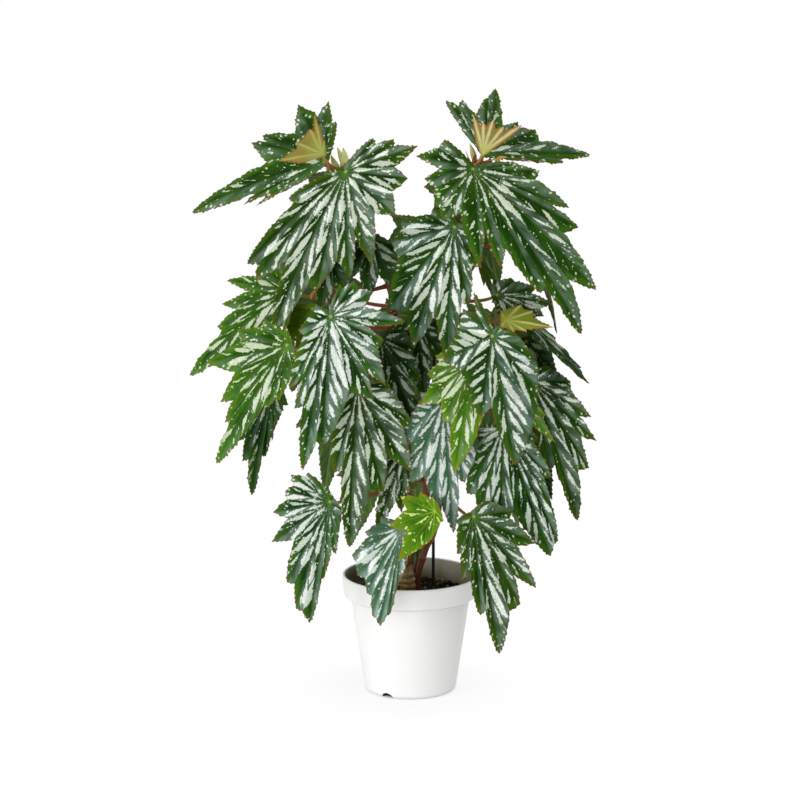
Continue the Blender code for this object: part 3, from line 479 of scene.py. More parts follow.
LEAVES = [Leaf(*row) for row in (
    # The left crown and shoulder.
    ("left_crown", (-80, -25, 512), (-115, 38), -70, (12, 10), "left", 478, "speckled",
     ((-107, 45, 42), (-95, 72, 58), (-72, 84, 53), (-41, 86, 73), (-33, 89, 64), (0, 146, 73),
      (12, 87, 57), (19, 76, 42), (27, 36, 4))),
    ("left_main", (-60, -42, 505), (-100, 25), -24, (14, 12), "left", 490, "mature",
     ((-62, 21, 20), (-40, 59, 56), (-22, 126, 118), (-15, 132, 98), (0, 165, 110), (13, 114, 82),
      (29, 100, 60), (42, 91, 47), (75, 63, 47), (111, 58, 45), (138, 71, 50), (153, 54, 38),
      (170, 41, 5))),
    ("left_wing", (-114, -18, 390), (-120, 30), -48, (12, 8), "left", 392, "bright",
     ((-100, 34, 28), (-72, 54, 40), (-46, 74, 44), (-29, 77, 60), (-13, 83, 78), (0, 132, 54),
      (24, 64, 34), (60, 36, 5))),
    # The left side.
    ("left_side", (-114, -70, 348), (-105, 25), -29, (12, 10), "left", 338, "bright",
     ((-140, 20, 14), (-105, 36, 30), (-76, 54, 44), (-47, 81, 56), (-18, 82, 72), (-8, 93, 86),
      (0, 129, 60), (17, 60, 50), (27, 52, 24), (60, 26, 5))),
    ("left_under", (-128, -18, 306), (-110, 8), -12, (8, 10), "left", 318, "dark",
     ((-60, 24, 22), (-17, 70, 64), (-10, 88, 82), (0, 117, 74), (6, 75, 50), (14, 48, 26),
      (44, 28, 7))),
    ("left_low", (-75, -75, 201), (-95, 20), -9, (14, 12), "left", 206, "silvered",
     ((-150, 20, 19), (-133, 35, 33), (-115, 46, 38), (-94, 44, 41), (-70, 55, 42), (-46, 67, 48),
      (-18, 85, 83), (-8, 105, 105), (0, 115, 72), (6, 70, 44), (17, 49, 30), (30, 27, 14),
      (75, 12, 5))),
    # Down the middle, from the top.
    ("mid_high", (40, -58, 456), (-100, 22), -1, (12, 14), "right", 436, "satin",
     ((-150, 22, 20), (-127, 28, 26), (-96, 52, 50), (-76, 62, 60), (-36, 97, 90), (-17, 117, 82),
      (0, 123, 71), (14, 72, 38), (37, 46, 24), (80, 20, 5))),
    ("mid_left", (-73, -110, 382), (-92, 20), -10, (12, 14), "left", 366, "silvered",
     ((-120, 18, 16), (-57, 32, 29), (-19, 76, 62), (-11, 90, 85), (0, 143, 114), (7, 118, 70),
      (38, 86, 58), (49, 81, 52), (77, 53, 32), (97, 68, 31), (132, 46, 36), (158, 40, 28),
      (176, 32, 5))),
    ("mid_core", (-49, -88, 312), (-90, 12), -3, (10, 12), "left", 285, "mature",
     ((-95, 24, 22), (-50, 38, 34), (-12, 82, 77), (0, 151, 95), (17, 101, 68), (35, 93, 56),
      (62, 58, 30), (105, 28, 5))),
    ("mid_right", (60, -84, 338), (-95, 18), -10, (12, 12), "right", 312, "fresh",
     ((-125, 22, 20), (-84, 38, 34), (-62, 48, 44), (-40, 68, 51), (-17, 65, 63), (0, 108, 78),
      (14, 62, 34), (50, 34, 22), (105, 22, 5))),
    ("mid_hidden", (-28, -46, 350), (-75, 14), 20, (10, 10), "left", 320, "dark",
     ((-60, 18, 16), (-24, 52, 44), (0, 109, 50), (23, 57, 34), (55, 34, 26), (100, 22, 5))),
    ("mid_drop", (30, -80, 300), (-85, 10), 4, (10, 10), "right", 286, "frosted",
     ((-110, 22, 20), (-50, 56, 50), (-25, 84, 74), (-9, 104, 100), (0, 127, 76), (10, 82, 62),
      (34, 52, 26), (85, 28, 5))),
    ("mid_low", (-6, -52, 247), (-95, 10), -18, (10, 10), "left", 236, "mature",
     ((-100, 20, 16), (-45, 34, 28), (-20, 48, 42), (0, 84, 50), (16, 62, 34), (32, 42, 20),
      (80, 22, 5))),
    ("over_rim", (-8, -82, 178), (-100, 25), -10, (14, 10), "foot", 127, "frosted",
     ((-105, 24, 22), (-72, 36, 32), (-50, 54, 54), (-31, 61, 58), (-16, 69, 69), (-6, 86, 87),
      (0, 94, 83), (5, 80, 62), (9, 54, 34), (24, 24, 12), (70, 12, 5))),
    ("young_low", (22, -108, 200), (-95, 22), -35, (12, 12), "right", 160, "lime",
     ((-135, 14, 12), (-107, 23, 20), (-78, 36, 26), (-36, 45, 31), (0, 58, 31), (30, 26, 11),
      (80, 12, 5))),
    ("low_small", (3, -24, 160), (-95, 8), -2, (10, 10), "left", 150, "mature",
     ((-90, 12, 10), (-28, 23, 17), (0, 36, 25), (14, 25, 18), (40, 16, 10), (84, 10, 5))),
    # The right crown and shoulder.
    ("right_crown", (68, -12, 518), (-60, 45), 91, (12, 8), "right", 498, "speckled",
     ((-26, 20, 18), (-15, 48, 42), (-8, 88, 84), (0, 128, 77), (21, 80, 61), (33, 69, 50),
      (56, 102, 78), (64, 75, 48), (82, 70, 60), (97, 70, 20), (114, 13, 4))),
    ("right_main", (57, -46, 508), (-75, 28), 44, (12, 10), "right", 492, "speckled",
     ((-187, 38, 37), (-152, 54, 29), (-126, 47, 40), (-96, 51, 50), (-80, 59, 44), (-45, 92, 57),
      (-33, 96, 78), (-18, 131, 128), (-11, 186, 136), (1, 163, 104), (16, 114, 78), (24, 100, 62),
      (45, 67, 45), (52, 44, 3.5))),
    ("right_small", (88, -60, 370), (-70, 50), 78, (10, 8), "right", 350, "curled",
     ((-123, 12, 9), (-67, 16, 12), (-30, 22, 20), (0, 46, 28), (30, 32, 25), (54, 28, 12),
      (112, 12, 5))),
    ("right_dark", (80, -36, 389), (-70, 25), 80, (10, 10), "right", 378, "mature",
     ((-75, 30, 26), (-40, 38, 34), (-17, 50, 45), (0, 57, 36), (19, 42, 24), (53, 24, 14),
      (105, 16, 5))),
    ("right_olive", (67, -14, 419), (-28, 20), 4, (10, 10), "right", 396, "olive",
     ((-90, 12, 10), (-25, 26, 20), (0, 42, 22), (30, 23, 14), (84, 12, 5))),
    ("right_edge", (94, -18, 372), (-20, 52), 10, (10, 10), "right", 358, "dark",
     ((-70, 18, 16), (-20, 52, 44), (0, 101, 82), (12, 89, 54), (29, 58, 30), (80, 20, 5))),
    # The right side.
    ("right_front", (74, -95, 361), (-88, 18), 10, (12, 14), "right", 340, "satin",
     ((-168, 44, 22), (-145, 37, 31), (-75, 50, 43), (-18, 74, 65), (0, 120, 82), (30, 66, 48),
      (60, 36, 24), (92, 20, 10), (135, 14, 5))),
    ("right_side", (112, -34, 308), (-70, 18), 18, (12, 12), "right", 292, "mature",
     ((-90, 18, 16), (-34, 36, 34), (-8, 88, 82), (0, 144, 98), (15, 104, 72), (28, 89, 60),
      (39, 71, 42), (67, 42, 26), (110, 22, 5))),
    ("right_deep", (85, -66, 270), (-80, 14), 20, (12, 12), "right", 262, "silvered",
     ((-112, 28, 26), (-84, 36, 34), (-50, 70, 67), (-37, 82, 79), (-22, 88, 80), (0, 131, 122),
      (6, 123, 98), (12, 86, 62), (23, 67, 34), (52, 36, 20), (100, 22, 5))),
    ("right_low", (58, -95, 192), (-85, 22), 10, (14, 12), "right", 190, "mature",
     ((-90, 18, 16), (-36, 38, 36), (-22, 61, 50), (-7, 92, 87), (0, 131, 94), (17, 92, 66),
      (30, 88, 48), (56, 64, 34), (88, 36, 22), (135, 18, 5))),
    ("right_fresh", (104, -62, 288), (-70, 20), 40, (8, 10), "right", 278, "fresh",
     ((-70, 12, 10), (-25, 24, 18), (0, 46, 20), (28, 24, 14), (80, 14, 5))),
    # The leaves that fill the middle, most of them darkened with painted shade.
    ("inner_left_high", (-36, -24, 440), (-95, 15), -5, (8, 10), "left", 424, "dark",
     ((-70, 26, 22), (-25, 44, 32), (0, 64, 34), (30, 52, 28), (80, 30, 5))),
    ("inner_left", (-76, -30, 428), (-110, 15), -5, (8, 10), "left", 408, "dark",
     ((-75, 26, 22), (-30, 42, 30), (0, 62, 32), (32, 46, 24), (80, 26, 5))),
    ("inner_back", (-92, -14, 372), (-100, 12), -12, (8, 10), "left", 352, "olive",
     ((-80, 28, 22), (-30, 40, 30), (0, 60, 32), (32, 42, 24), (85, 26, 5))),
    ("inner_core", (6, -14, 362), (-85, 10), 5, (8, 10), "right", 346, "dark",
     ((-75, 26, 22), (-30, 46, 34), (0, 76, 36), (30, 50, 26), (75, 28, 5))),
    ("inner_right", (109, 2, 338), (-84, 18), 12, (8, 10), "right", 328, "dark",
     ((-68, 24, 20), (-30, 38, 28), (0, 62, 30), (30, 44, 24), (78, 26, 5))),
    ("inner_deep", (116, -16, 250), (-84, 18), 15, (8, 10), "right", 228, "dark",
     ((-66, 24, 20), (-30, 36, 28), (0, 62, 30), (30, 44, 24), (80, 28, 5))),
    # Round the sides and the back.
    ("back_left_high", (-62, 22, 490), (104, 30), 4, (12, 10), "left", 470, "mature", sized(BROAD, 0.8)),
    ("back_right_high", (58, 28, 490), (80, 28), -10, (12, 10), "right", 470, "mature",
     sized(BROAD, 0.92, True)),
    ("back_mid_high", (14, 50, 444), (84, 18), 0, (12, 10), "right", 410, "mature", sized(SLIM, 0.95)),
    ("back_left", (-80, 62, 384), (115, 20), 14, (12, 12), "left", 372, "mature",
     sized(BROAD, 0.9, True)),
    ("back_right", (79, 64, 352), (70, 20), -12, (12, 12), "right", 338, "mature", sized(BROAD, 0.85)),
    ("back_mid", (2, 96, 346), (92, 18), -3, (12, 12), "right", 318, "mature", sized(BROAD, 1.0)),
    ("back_left_low", (-62, 62, 292), (112, 18), 8, (12, 12), "left", 262, "mature",
     sized(SLIM, 1.05, True)),
    ("back_right_low", (72, 62, 296), (70, 18), -8, (12, 12), "right", 270, "mature", sized(SLIM, 1.1)),
    ("back_low", (8, 92, 246), (90, 20), 2, (14, 12), "right", 224, "mature", sized(BROAD, 0.78, True)),
    ("back_foot", (-34, 66, 212), (105, 22), 10, (14, 12), "left", 180, "mature", sized(SLIM, 0.78)),
    ("side_left_high", (-114, 26, 434), (172, 22), 4, (12, 12), "left", 436, "mature",
     sized(SLIM, 0.62)),
    ("side_left", (-118, 26, 338), (168, 16), 8, (12, 12), "left", 330, "mature",
     sized(SLIM, 0.9, True)),
    ("side_right_high", (116, 4, 432), (8, 22), -4, (12, 12), "right", 432, "mature",
     sized(SLIM, 0.8, True)),
    ("side_right", (128, 40, 318), (12, 16), -8, (12, 12), "right", 314, "mature", sized(SLIM, 0.95)),
    ("side_low", (86, 30, 232), (35, 18), -6, (12, 12), "right", 214, "mature", sized(SLIM, 0.75, True)),
    # The folded young leaves at the two growing tips.
    ("left_young", (-81, -50, 523), (-80, 30), -120, (30, 20), "left", 504, "bronze",
     ((-75, 14, 12), (-55, 42, 23), (-40, 27, 24), (2, 25, 24), (36, 41, 20), (60, 14, 4))),
    ("right_young", (66, -62, 525), (-80, 30), 170, (10, 24), "right", 508, "pleated",
     ((-62, 10, 9), (-44, 50, 30), (-30, 35, 28), (-11, 36, 27), (4, 31, 27), (18, 41, 14),
      (38, 10, 4))),
)]

# A blade: how its sides swell, the length of a short one, the spacing of its columns and
# rings, and its thickness; the coarsest stride of its columns and the shares of the way out
# at which the stride halves; its folds and waves; its teeth and ribs; and its petiole.
SWELL, SHORT_SIDE, COLUMN_STEP, RING_STEP, THICKNESS = 0.05, 36, 1.6, 6, 0.5
COARSEST, INNER = 8, (0.2, 0.42, 0.96)
PLEAT, QUILT, RIPPLE, WAVES = 0.28, 0.5, 1.5, (3.1, 7.3)
TOOTH, RIB_PITCH, RIB_ANGLE = 0.85, 7.2, 20
PETIOLE_FOOT, PETIOLE_TOP, COLLAR, COLLAR_LENGTH = 2.0, 1.45, 0.7, 2.5


def cubic(t, a, b, c, d):
    """(1-t)^3 a + 3t(1-t)^2 b + 3t^2(1-t) c + t^3 d."""
    return (1 - t)**3 * a + 3 * t * (1 - t)**2 * b + 3 * t**2 * (1 - t) * c + t**3 * d


def flat(angle, reach):
    """A place on the flat blade: (reach cos angle, reach sin angle), angles in degrees."""
    return np.stack([reach * np.cos(np.radians(angle)), reach * np.sin(np.radians(angle))], -1)


def lows(lobes):
    """The low between each two lobes as (angle, reach, ridge). It lies nearer the shorter
    lobe, and ridge is how steeply the blade falls to it from the veins. The first and the
    last are the sinus behind the petiole."""
    angle, reach, depth = np.array(lobes, float).T
    part = np.diff(angle)
    at = angle[:-1] + part * reach[:-1] / (reach[:-1] + reach[1:])
    ridge = PLEAT * np.sin(np.radians(np.minimum(part, 70) / 2))
    between = np.stack([at, depth[:-1], ridge], -1)
    sinus = (angle[0] + angle[-1]) / 2 + 180
    end = (depth[-1], PLEAT * 0.55)
    return np.concatenate([[(sinus - 360, *end)], between, [(sinus, *end)]])


def margin(leaf, draw):
    """The margin's columns, in order round the blade, as a dictionary of arrays. Each side
    of a lobe is a cubic from its low over a belly and a waist to its tip, swelled away from
    the vein at its belly. A long side swells at its waist too, and a short one is drawn in
    there, so that its tip is pointed. half gives each column's side of a lobe, steps its
    count from the tip, phase 0 on the vein and 1 at the low."""
    low = lows(leaf.lobes)
    rows, sides = [], []
    for i, (tip_angle, tip_reach, _) in enumerate(leaf.lobes):
        drop = tip_reach * draw.uniform(-0.06, 0)
        for rising in (True, False):
            low_angle, low_reach, ridge = low[i if rising else i + 1]
            start, end = flat(low_angle, low_reach), flat(tip_angle, tip_reach)
            chord = end - start
            away = np.array([chord[1], -chord[0]]) * (1 if rising else -1)
            belly = start + chord * 0.33 + away * SWELL
            share, swell = (0.88, 1.4) if math.hypot(*chord) > SHORT_SIDE else (0.72, -0.6)
            waist = start + chord * share + away * SWELL * swell
            count = COARSEST * max(1, round(math.hypot(*chord) / COLUMN_STEP / COARSEST))
            t = np.arange(count) / count
            t = (t if rising else 1 - t)[:, None]
            place = cubic(t, start, belly, waist, end)
            bearing = np.degrees(np.arctan2(place[:, 1], place[:, 0])) - tip_angle
            bearing = np.abs((bearing + 180) % 360 - 180)
            steps = np.arange(count)
            rows.append({
                "place": place, "half": np.full(count, len(sides)),
                "steps": count - steps if rising else steps,
                "phase": np.clip(bearing / abs(low_angle - tip_angle), 0, 1),
                "ridge": np.full(count, ridge), "tip": np.full(count, tip_reach),
                "drop": np.full(count, drop),
            })
            sides.append((tip_angle, low_angle - tip_angle, low_reach))
    rows = {name: np.concatenate([row[name] for row in rows]) for name in rows[0]}
    rows["tangent"] = unit(np.roll(rows["place"], -1, 0) - np.roll(rows["place"], 1, 0))
    return rows, np.array(sides)


def ribs(sides, draw):
    """A row for each side of a lobe: the vein's direction, the slope k and first place a0 of
    the ribs a = a0 + k c + n s, and sin of their angle. The ribs leave the vein wide enough to
    reach the low, and the first one crosses the low's line halfway out. From there each side
    starts up to a third of the ribs' spacing farther on."""
    tip, part, low_reach = sides.T
    part = np.abs(part)
    angle = np.radians(np.clip(part * 1.2 + 4, RIB_ANGLE, 60))
    k = 1 / np.tan(angle)
    part = np.radians(part)
    first = np.maximum(0.5 * low_reach * (np.cos(part) - k * np.sin(part)), 7)
    wide = part > math.radians(38)
    first = np.where(wide, 8 - 12 * RIB_PITCH / np.sin(angle), first)
    first = first + RIB_PITCH / np.sin(angle) * draw.uniform(0, 0.35, len(first))
    return np.column_stack([flat(tip, 1.0), k, first, np.sin(angle)])


def vein_place(place, rib):
    """A flat place as seen from its lobe's vein, whose direction and ribs are a row of ribs:
    mm along the vein a, mm to its right c, and mm across the ribs (a - a0 - k |c|) sin."""
    x, y, (dx, dy, slope, first, sine) = place[..., 0], place[..., 1], np.moveaxis(rib, -1, 0)
    a, c = x * dx + y * dy, y * dx - x * dy
    return a, c, (a - first - slope * np.abs(c)) * sine


def net(columns, strides):
    """Faces over rings round a middle point, a ring of stride s holding every s-th column.
    Equal rings are joined by quads; where the stride halves, a step (a, b) meets (p, q, r)
    in (a, p, q), (a, q, b) and (b, q, r). Returns faces and the first column of each."""
    counts = columns // strides
    begins = 1 + np.concatenate([[0], np.cumsum(counts)])
    j = np.arange(counts[0])
    tris = [np.stack([0 * j, begins[0] + j, begins[0] + (j + 1) % counts[0]], -1)]
    tri_at, quads, quad_at = [j * strides[0]], [], []
    for i in range(len(strides) - 1):
        j = np.arange(counts[i])
        a, b = begins[i] + j, begins[i] + (j + 1) % counts[i]
        if strides[i] == strides[i + 1]:
            quads.append(np.stack([a, begins[i + 1] + j, begins[i + 1] + (j + 1) % counts[i], b], -1))
            quad_at.append(j * strides[i])
        else:
            p, q = begins[i + 1] + 2 * j, begins[i + 1] + 2 * j + 1
            r = begins[i + 1] + (2 * j + 2) % counts[i + 1]
            for corners in ((a, p, q), (a, q, b), (b, q, r)):
                tris.append(np.stack(corners, -1))
                tri_at.append(j * strides[i])
    return [[np.concatenate(parts) for parts in kind] for kind in ((quads, tris), (quad_at, tri_at))]


def arc_bend(distance, height, degrees):
    """Bends a line into an arc that turns by so many degrees in 100 mm: with R the radius,
    ((R + height) sin(distance / R), (R + height) cos(distance / R) - R)."""
    radius = 100 / math.radians(degrees)
    return ((radius + height) * np.sin(distance / radius),
            (radius + height) * np.cos(distance / radius) - radius)


def blade_axes(leaf):
    """Unit vectors along the main vein, across the blade and out of its upper face."""
    azimuth, elevation = (math.radians(a) for a in leaf.faces)
    swing = math.radians(leaf.swing)
    out = np.array([math.cos(azimuth) * math.cos(elevation),
                    math.sin(azimuth) * math.cos(elevation), math.sin(elevation)])
    side = np.array([-math.sin(azimuth), math.cos(azimuth), 0])
    down = np.cross(side, out)
    along = down * math.cos(swing) + side * math.sin(swing)
    return along, side * math.cos(swing) - down * math.sin(swing), out


def blade(leaf, draw):
    """The blade's points, faces and maps. Each lobe is folded along its vein like a roof: at
    a distance r it falls by ridge * r * sin(pi / 2 * phase) towards the lows. It swells by
    QUILT between the ribs, waves by RIPPLE along the margin and drops with (r / tip)^2. The
    outermost ring carries the teeth: every third column stands out, leaning to the tip."""
    rows, sides = margin(leaf, draw)
    pattern = ribs(sides, draw)
    columns = len(rows["half"])
    reach = max(r for _, r, _ in leaf.lobes)
    inner = np.linspace(0.05, 0.935, max(9, round(reach / RING_STEP)))
    shares = np.concatenate([inner, [0.975, 1]])
    strides = np.select([shares < limit for limit in INNER], [COARSEST, COARSEST // 2, 2], 1)

    k = rows["steps"]
    size = TOOTH * np.where(k // 3 % 3 == 1, 1.9, 1) * draw.uniform(0.7, 1.3, columns)
    size *= np.where(rows["tip"] < 30, 0.6, 1) * np.clip(1.15 - rows["phase"]**3, 0.1, 1)
    size *= np.clip(k / 6, 0, 1)
    outward = np.stack([rows["tangent"][:, 1], -rows["tangent"][:, 0]], -1)
    toothed = rows["place"] + outward * (size * np.array([0, 1, 0.45])[k % 3])[:, None]

    picks = [np.arange(0, columns, s) for s in strides]
    column = np.concatenate(picks)
    share = np.concatenate([np.full(len(p), t) for p, t in zip(picks, shares)])
    place = rows["place"][column]
    flat_place = np.where((share == 1)[:, None], toothed[column], place * share[:, None])
    phase, half = rows["phase"][column], rows["half"][column]
    r = np.linalg.norm(flat_place, axis=1)
    _, c, rib = vein_place(flat_place, pattern[half])
    edge = (1 - share) * np.abs(np.cross(place, rows["tangent"][column]))

    run = np.cumsum(np.linalg.norm(np.diff(rows["place"], axis=0, prepend=rows["place"][:1]), axis=1))
    lift = -rows["ridge"][column] * r * np.sin(math.pi / 2 * phase)
    quilt = (1 - np.cos(2 * math.pi * rib / RIB_PITCH)) / 2 * np.clip(np.abs(c) / 5, 0, 1)
    lift += QUILT * quilt * (1 - phase**4)
    wave = np.sin(run[column] / WAVES[0] + draw.uniform(0, 6)) + 0.6 * np.sin(run[column] / WAVES[1])
    lift += RIPPLE * wave * share**3 * np.clip(r / 60, 0, 1) * phase
    lift += rows["drop"][column] * (r / rows["tip"][column])**2 * (1 + np.cos(math.pi * phase)) / 2

    flat_place = np.concatenate([[(0, 0)], flat_place])
    lift = np.concatenate([[0], lift])
    edge = np.concatenate([[edge[:len(picks[0])].mean() + 4], edge])
    along, across, out = blade_axes(leaf)
    droop, arch = leaf.bend
    skins = []
    for depth in (0, -THICKNESS):
        u, height = arc_bend(flat_place[:, 1], lift + depth, arch)
        v, height = arc_bend(flat_place[:, 0], height, droop)
        skins.append(np.array(leaf.at) + v[:, None] * along + u[:, None] * across
                     + height[:, None] * out)
    upper, at = net(columns, strides)
    count = len(lift)
    lower = [f[:, ::-1] + count for f in upper]
    last = count - columns + np.arange(columns)
    after = count - columns + (np.arange(columns) + 1) % columns
    rim = np.stack([last, last + count, after + count, after], -1)
    faces = [*upper, *lower, rim]
    starts = [*at, *at, np.arange(columns)]

    flat_place = np.concatenate([flat_place, flat_place])
    maps = []
    for corners, start in zip(faces, starts):
        place = flat_place[corners]
        a, c, rib = vein_place(place, pattern[rows["half"][start]][:, None])
        maps.append(np.stack([c, rib, a, np.linalg.norm(place, axis=-1)], -1).reshape(-1, 4))
    halves = [rows["half"][start] for start in starts]
    return np.concatenate(skins), faces, np.concatenate(maps), np.concatenate([edge, edge]), halves


def petiole(leaf):
    """The petiole's rings and ends: a cubic that leaves the cane squarely and meets the blade
    squarely, slimmer towards the blade and with a collar at the cane."""
    line = smooth_line(OLD_FOOT if leaf.stem == "foot" else CANES[leaf.stem].line, 40)
    centre, below, above = (np.array([np.interp(leaf.root + step, line[:, 2], part) for part in line.T])
                            for step in (0, -2, 2))
    grain = unit((above - below)[:3])
    out = blade_axes(leaf)[2]
    end = np.array(leaf.at, float) - out * 0.4
    away = end - centre[:3]
    away = unit(away - grain * (away @ grain))
    start = centre[:3] + away * (centre[3] - 1.2)
    span = np.linalg.norm(end - start)
    t = np.linspace(0, 1, max(8, round(span / 5)))[:, None]
    path = cubic(t, start, start + away * span * 0.35, end - out * span * 0.35, end)
    girth = PETIOLE_TOP + (PETIOLE_FOOT - PETIOLE_TOP) * (1 - t[:, 0])**1.5
    girth += COLLAR * np.exp(-t[:, 0] * span / COLLAR_LENGTH)
    bend = np.cross(away, out)
    if np.linalg.norm(bend) < 0.1:
        bend = np.cross(away, (0.3, 0.2, 1))
    return sweep(path, girth, 10, unit(bend)), start, end


def leaf_piece(leaf, finishes, draw):
    """One leaf: its blade and petiole in one mesh, with the maps its finishes read. Map Veins
    is (mm to the right of the vein, mm across the ribs), map Blade is (mm along the vein, mm
    from the petiole), attribute half numbers the sides of the lobes, and attribute margin
    is the mm to the margin or, on the petiole, the share of its length."""
    points, faces, maps, edge, halves = blade(leaf, draw)
    rings, start, end = petiole(leaf)
    stalk, stalk_faces = skin(rings, start, end)
    share = np.append(np.repeat(np.linspace(0, 1, len(rings)), rings.shape[1]), [0, 1])
    # The upper faces and the rim take the first finish, the lower ones the second, and the
    # petiole's the third. Each of the three has its faces in several arrays.
    kinds, rim = (0, 0, 1, 1, 0, 2, 2, 2), 4
    faces = [*faces, *(f + len(points) for f in stalk_faces)]
    thing = piece(f"leaf_{leaf.name}_blade", np.concatenate([points, stalk]), faces, finishes)
    mesh = thing.data
    spare = sum(f.size for f in stalk_faces)
    maps = np.concatenate([maps, np.zeros((spare, 4))])
    for name, columns in (("Veins", maps[:, :2]), ("Blade", maps[:, 2:])):
        layer = mesh.uv_layers.new(name=name)
        layer.data.foreach_set("uv", columns.astype(np.float32).ravel())
    halves = np.concatenate([*halves, np.zeros(sum(len(f) for f in stalk_faces))])
    for name, kind, values in (("margin", "POINT", np.concatenate([edge, share])),
                               ("half", "FACE", halves + draw.integers(0, 900))):
        field = mesh.attributes.new(name, "FLOAT", kind)
        field.data.foreach_set("value", values.astype(np.float32))
    kind = np.concatenate([np.full(len(f), k) for f, k in zip(faces, kinds)])
    mesh.polygons.foreach_set("material_index", kind.astype(np.int32))
    rounded = np.concatenate([np.full(len(f), i != rim) for i, f in enumerate(faces)])
    mesh.polygons.foreach_set("use_smooth", rounded)
    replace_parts(thing, f"leaf_{leaf.name}")


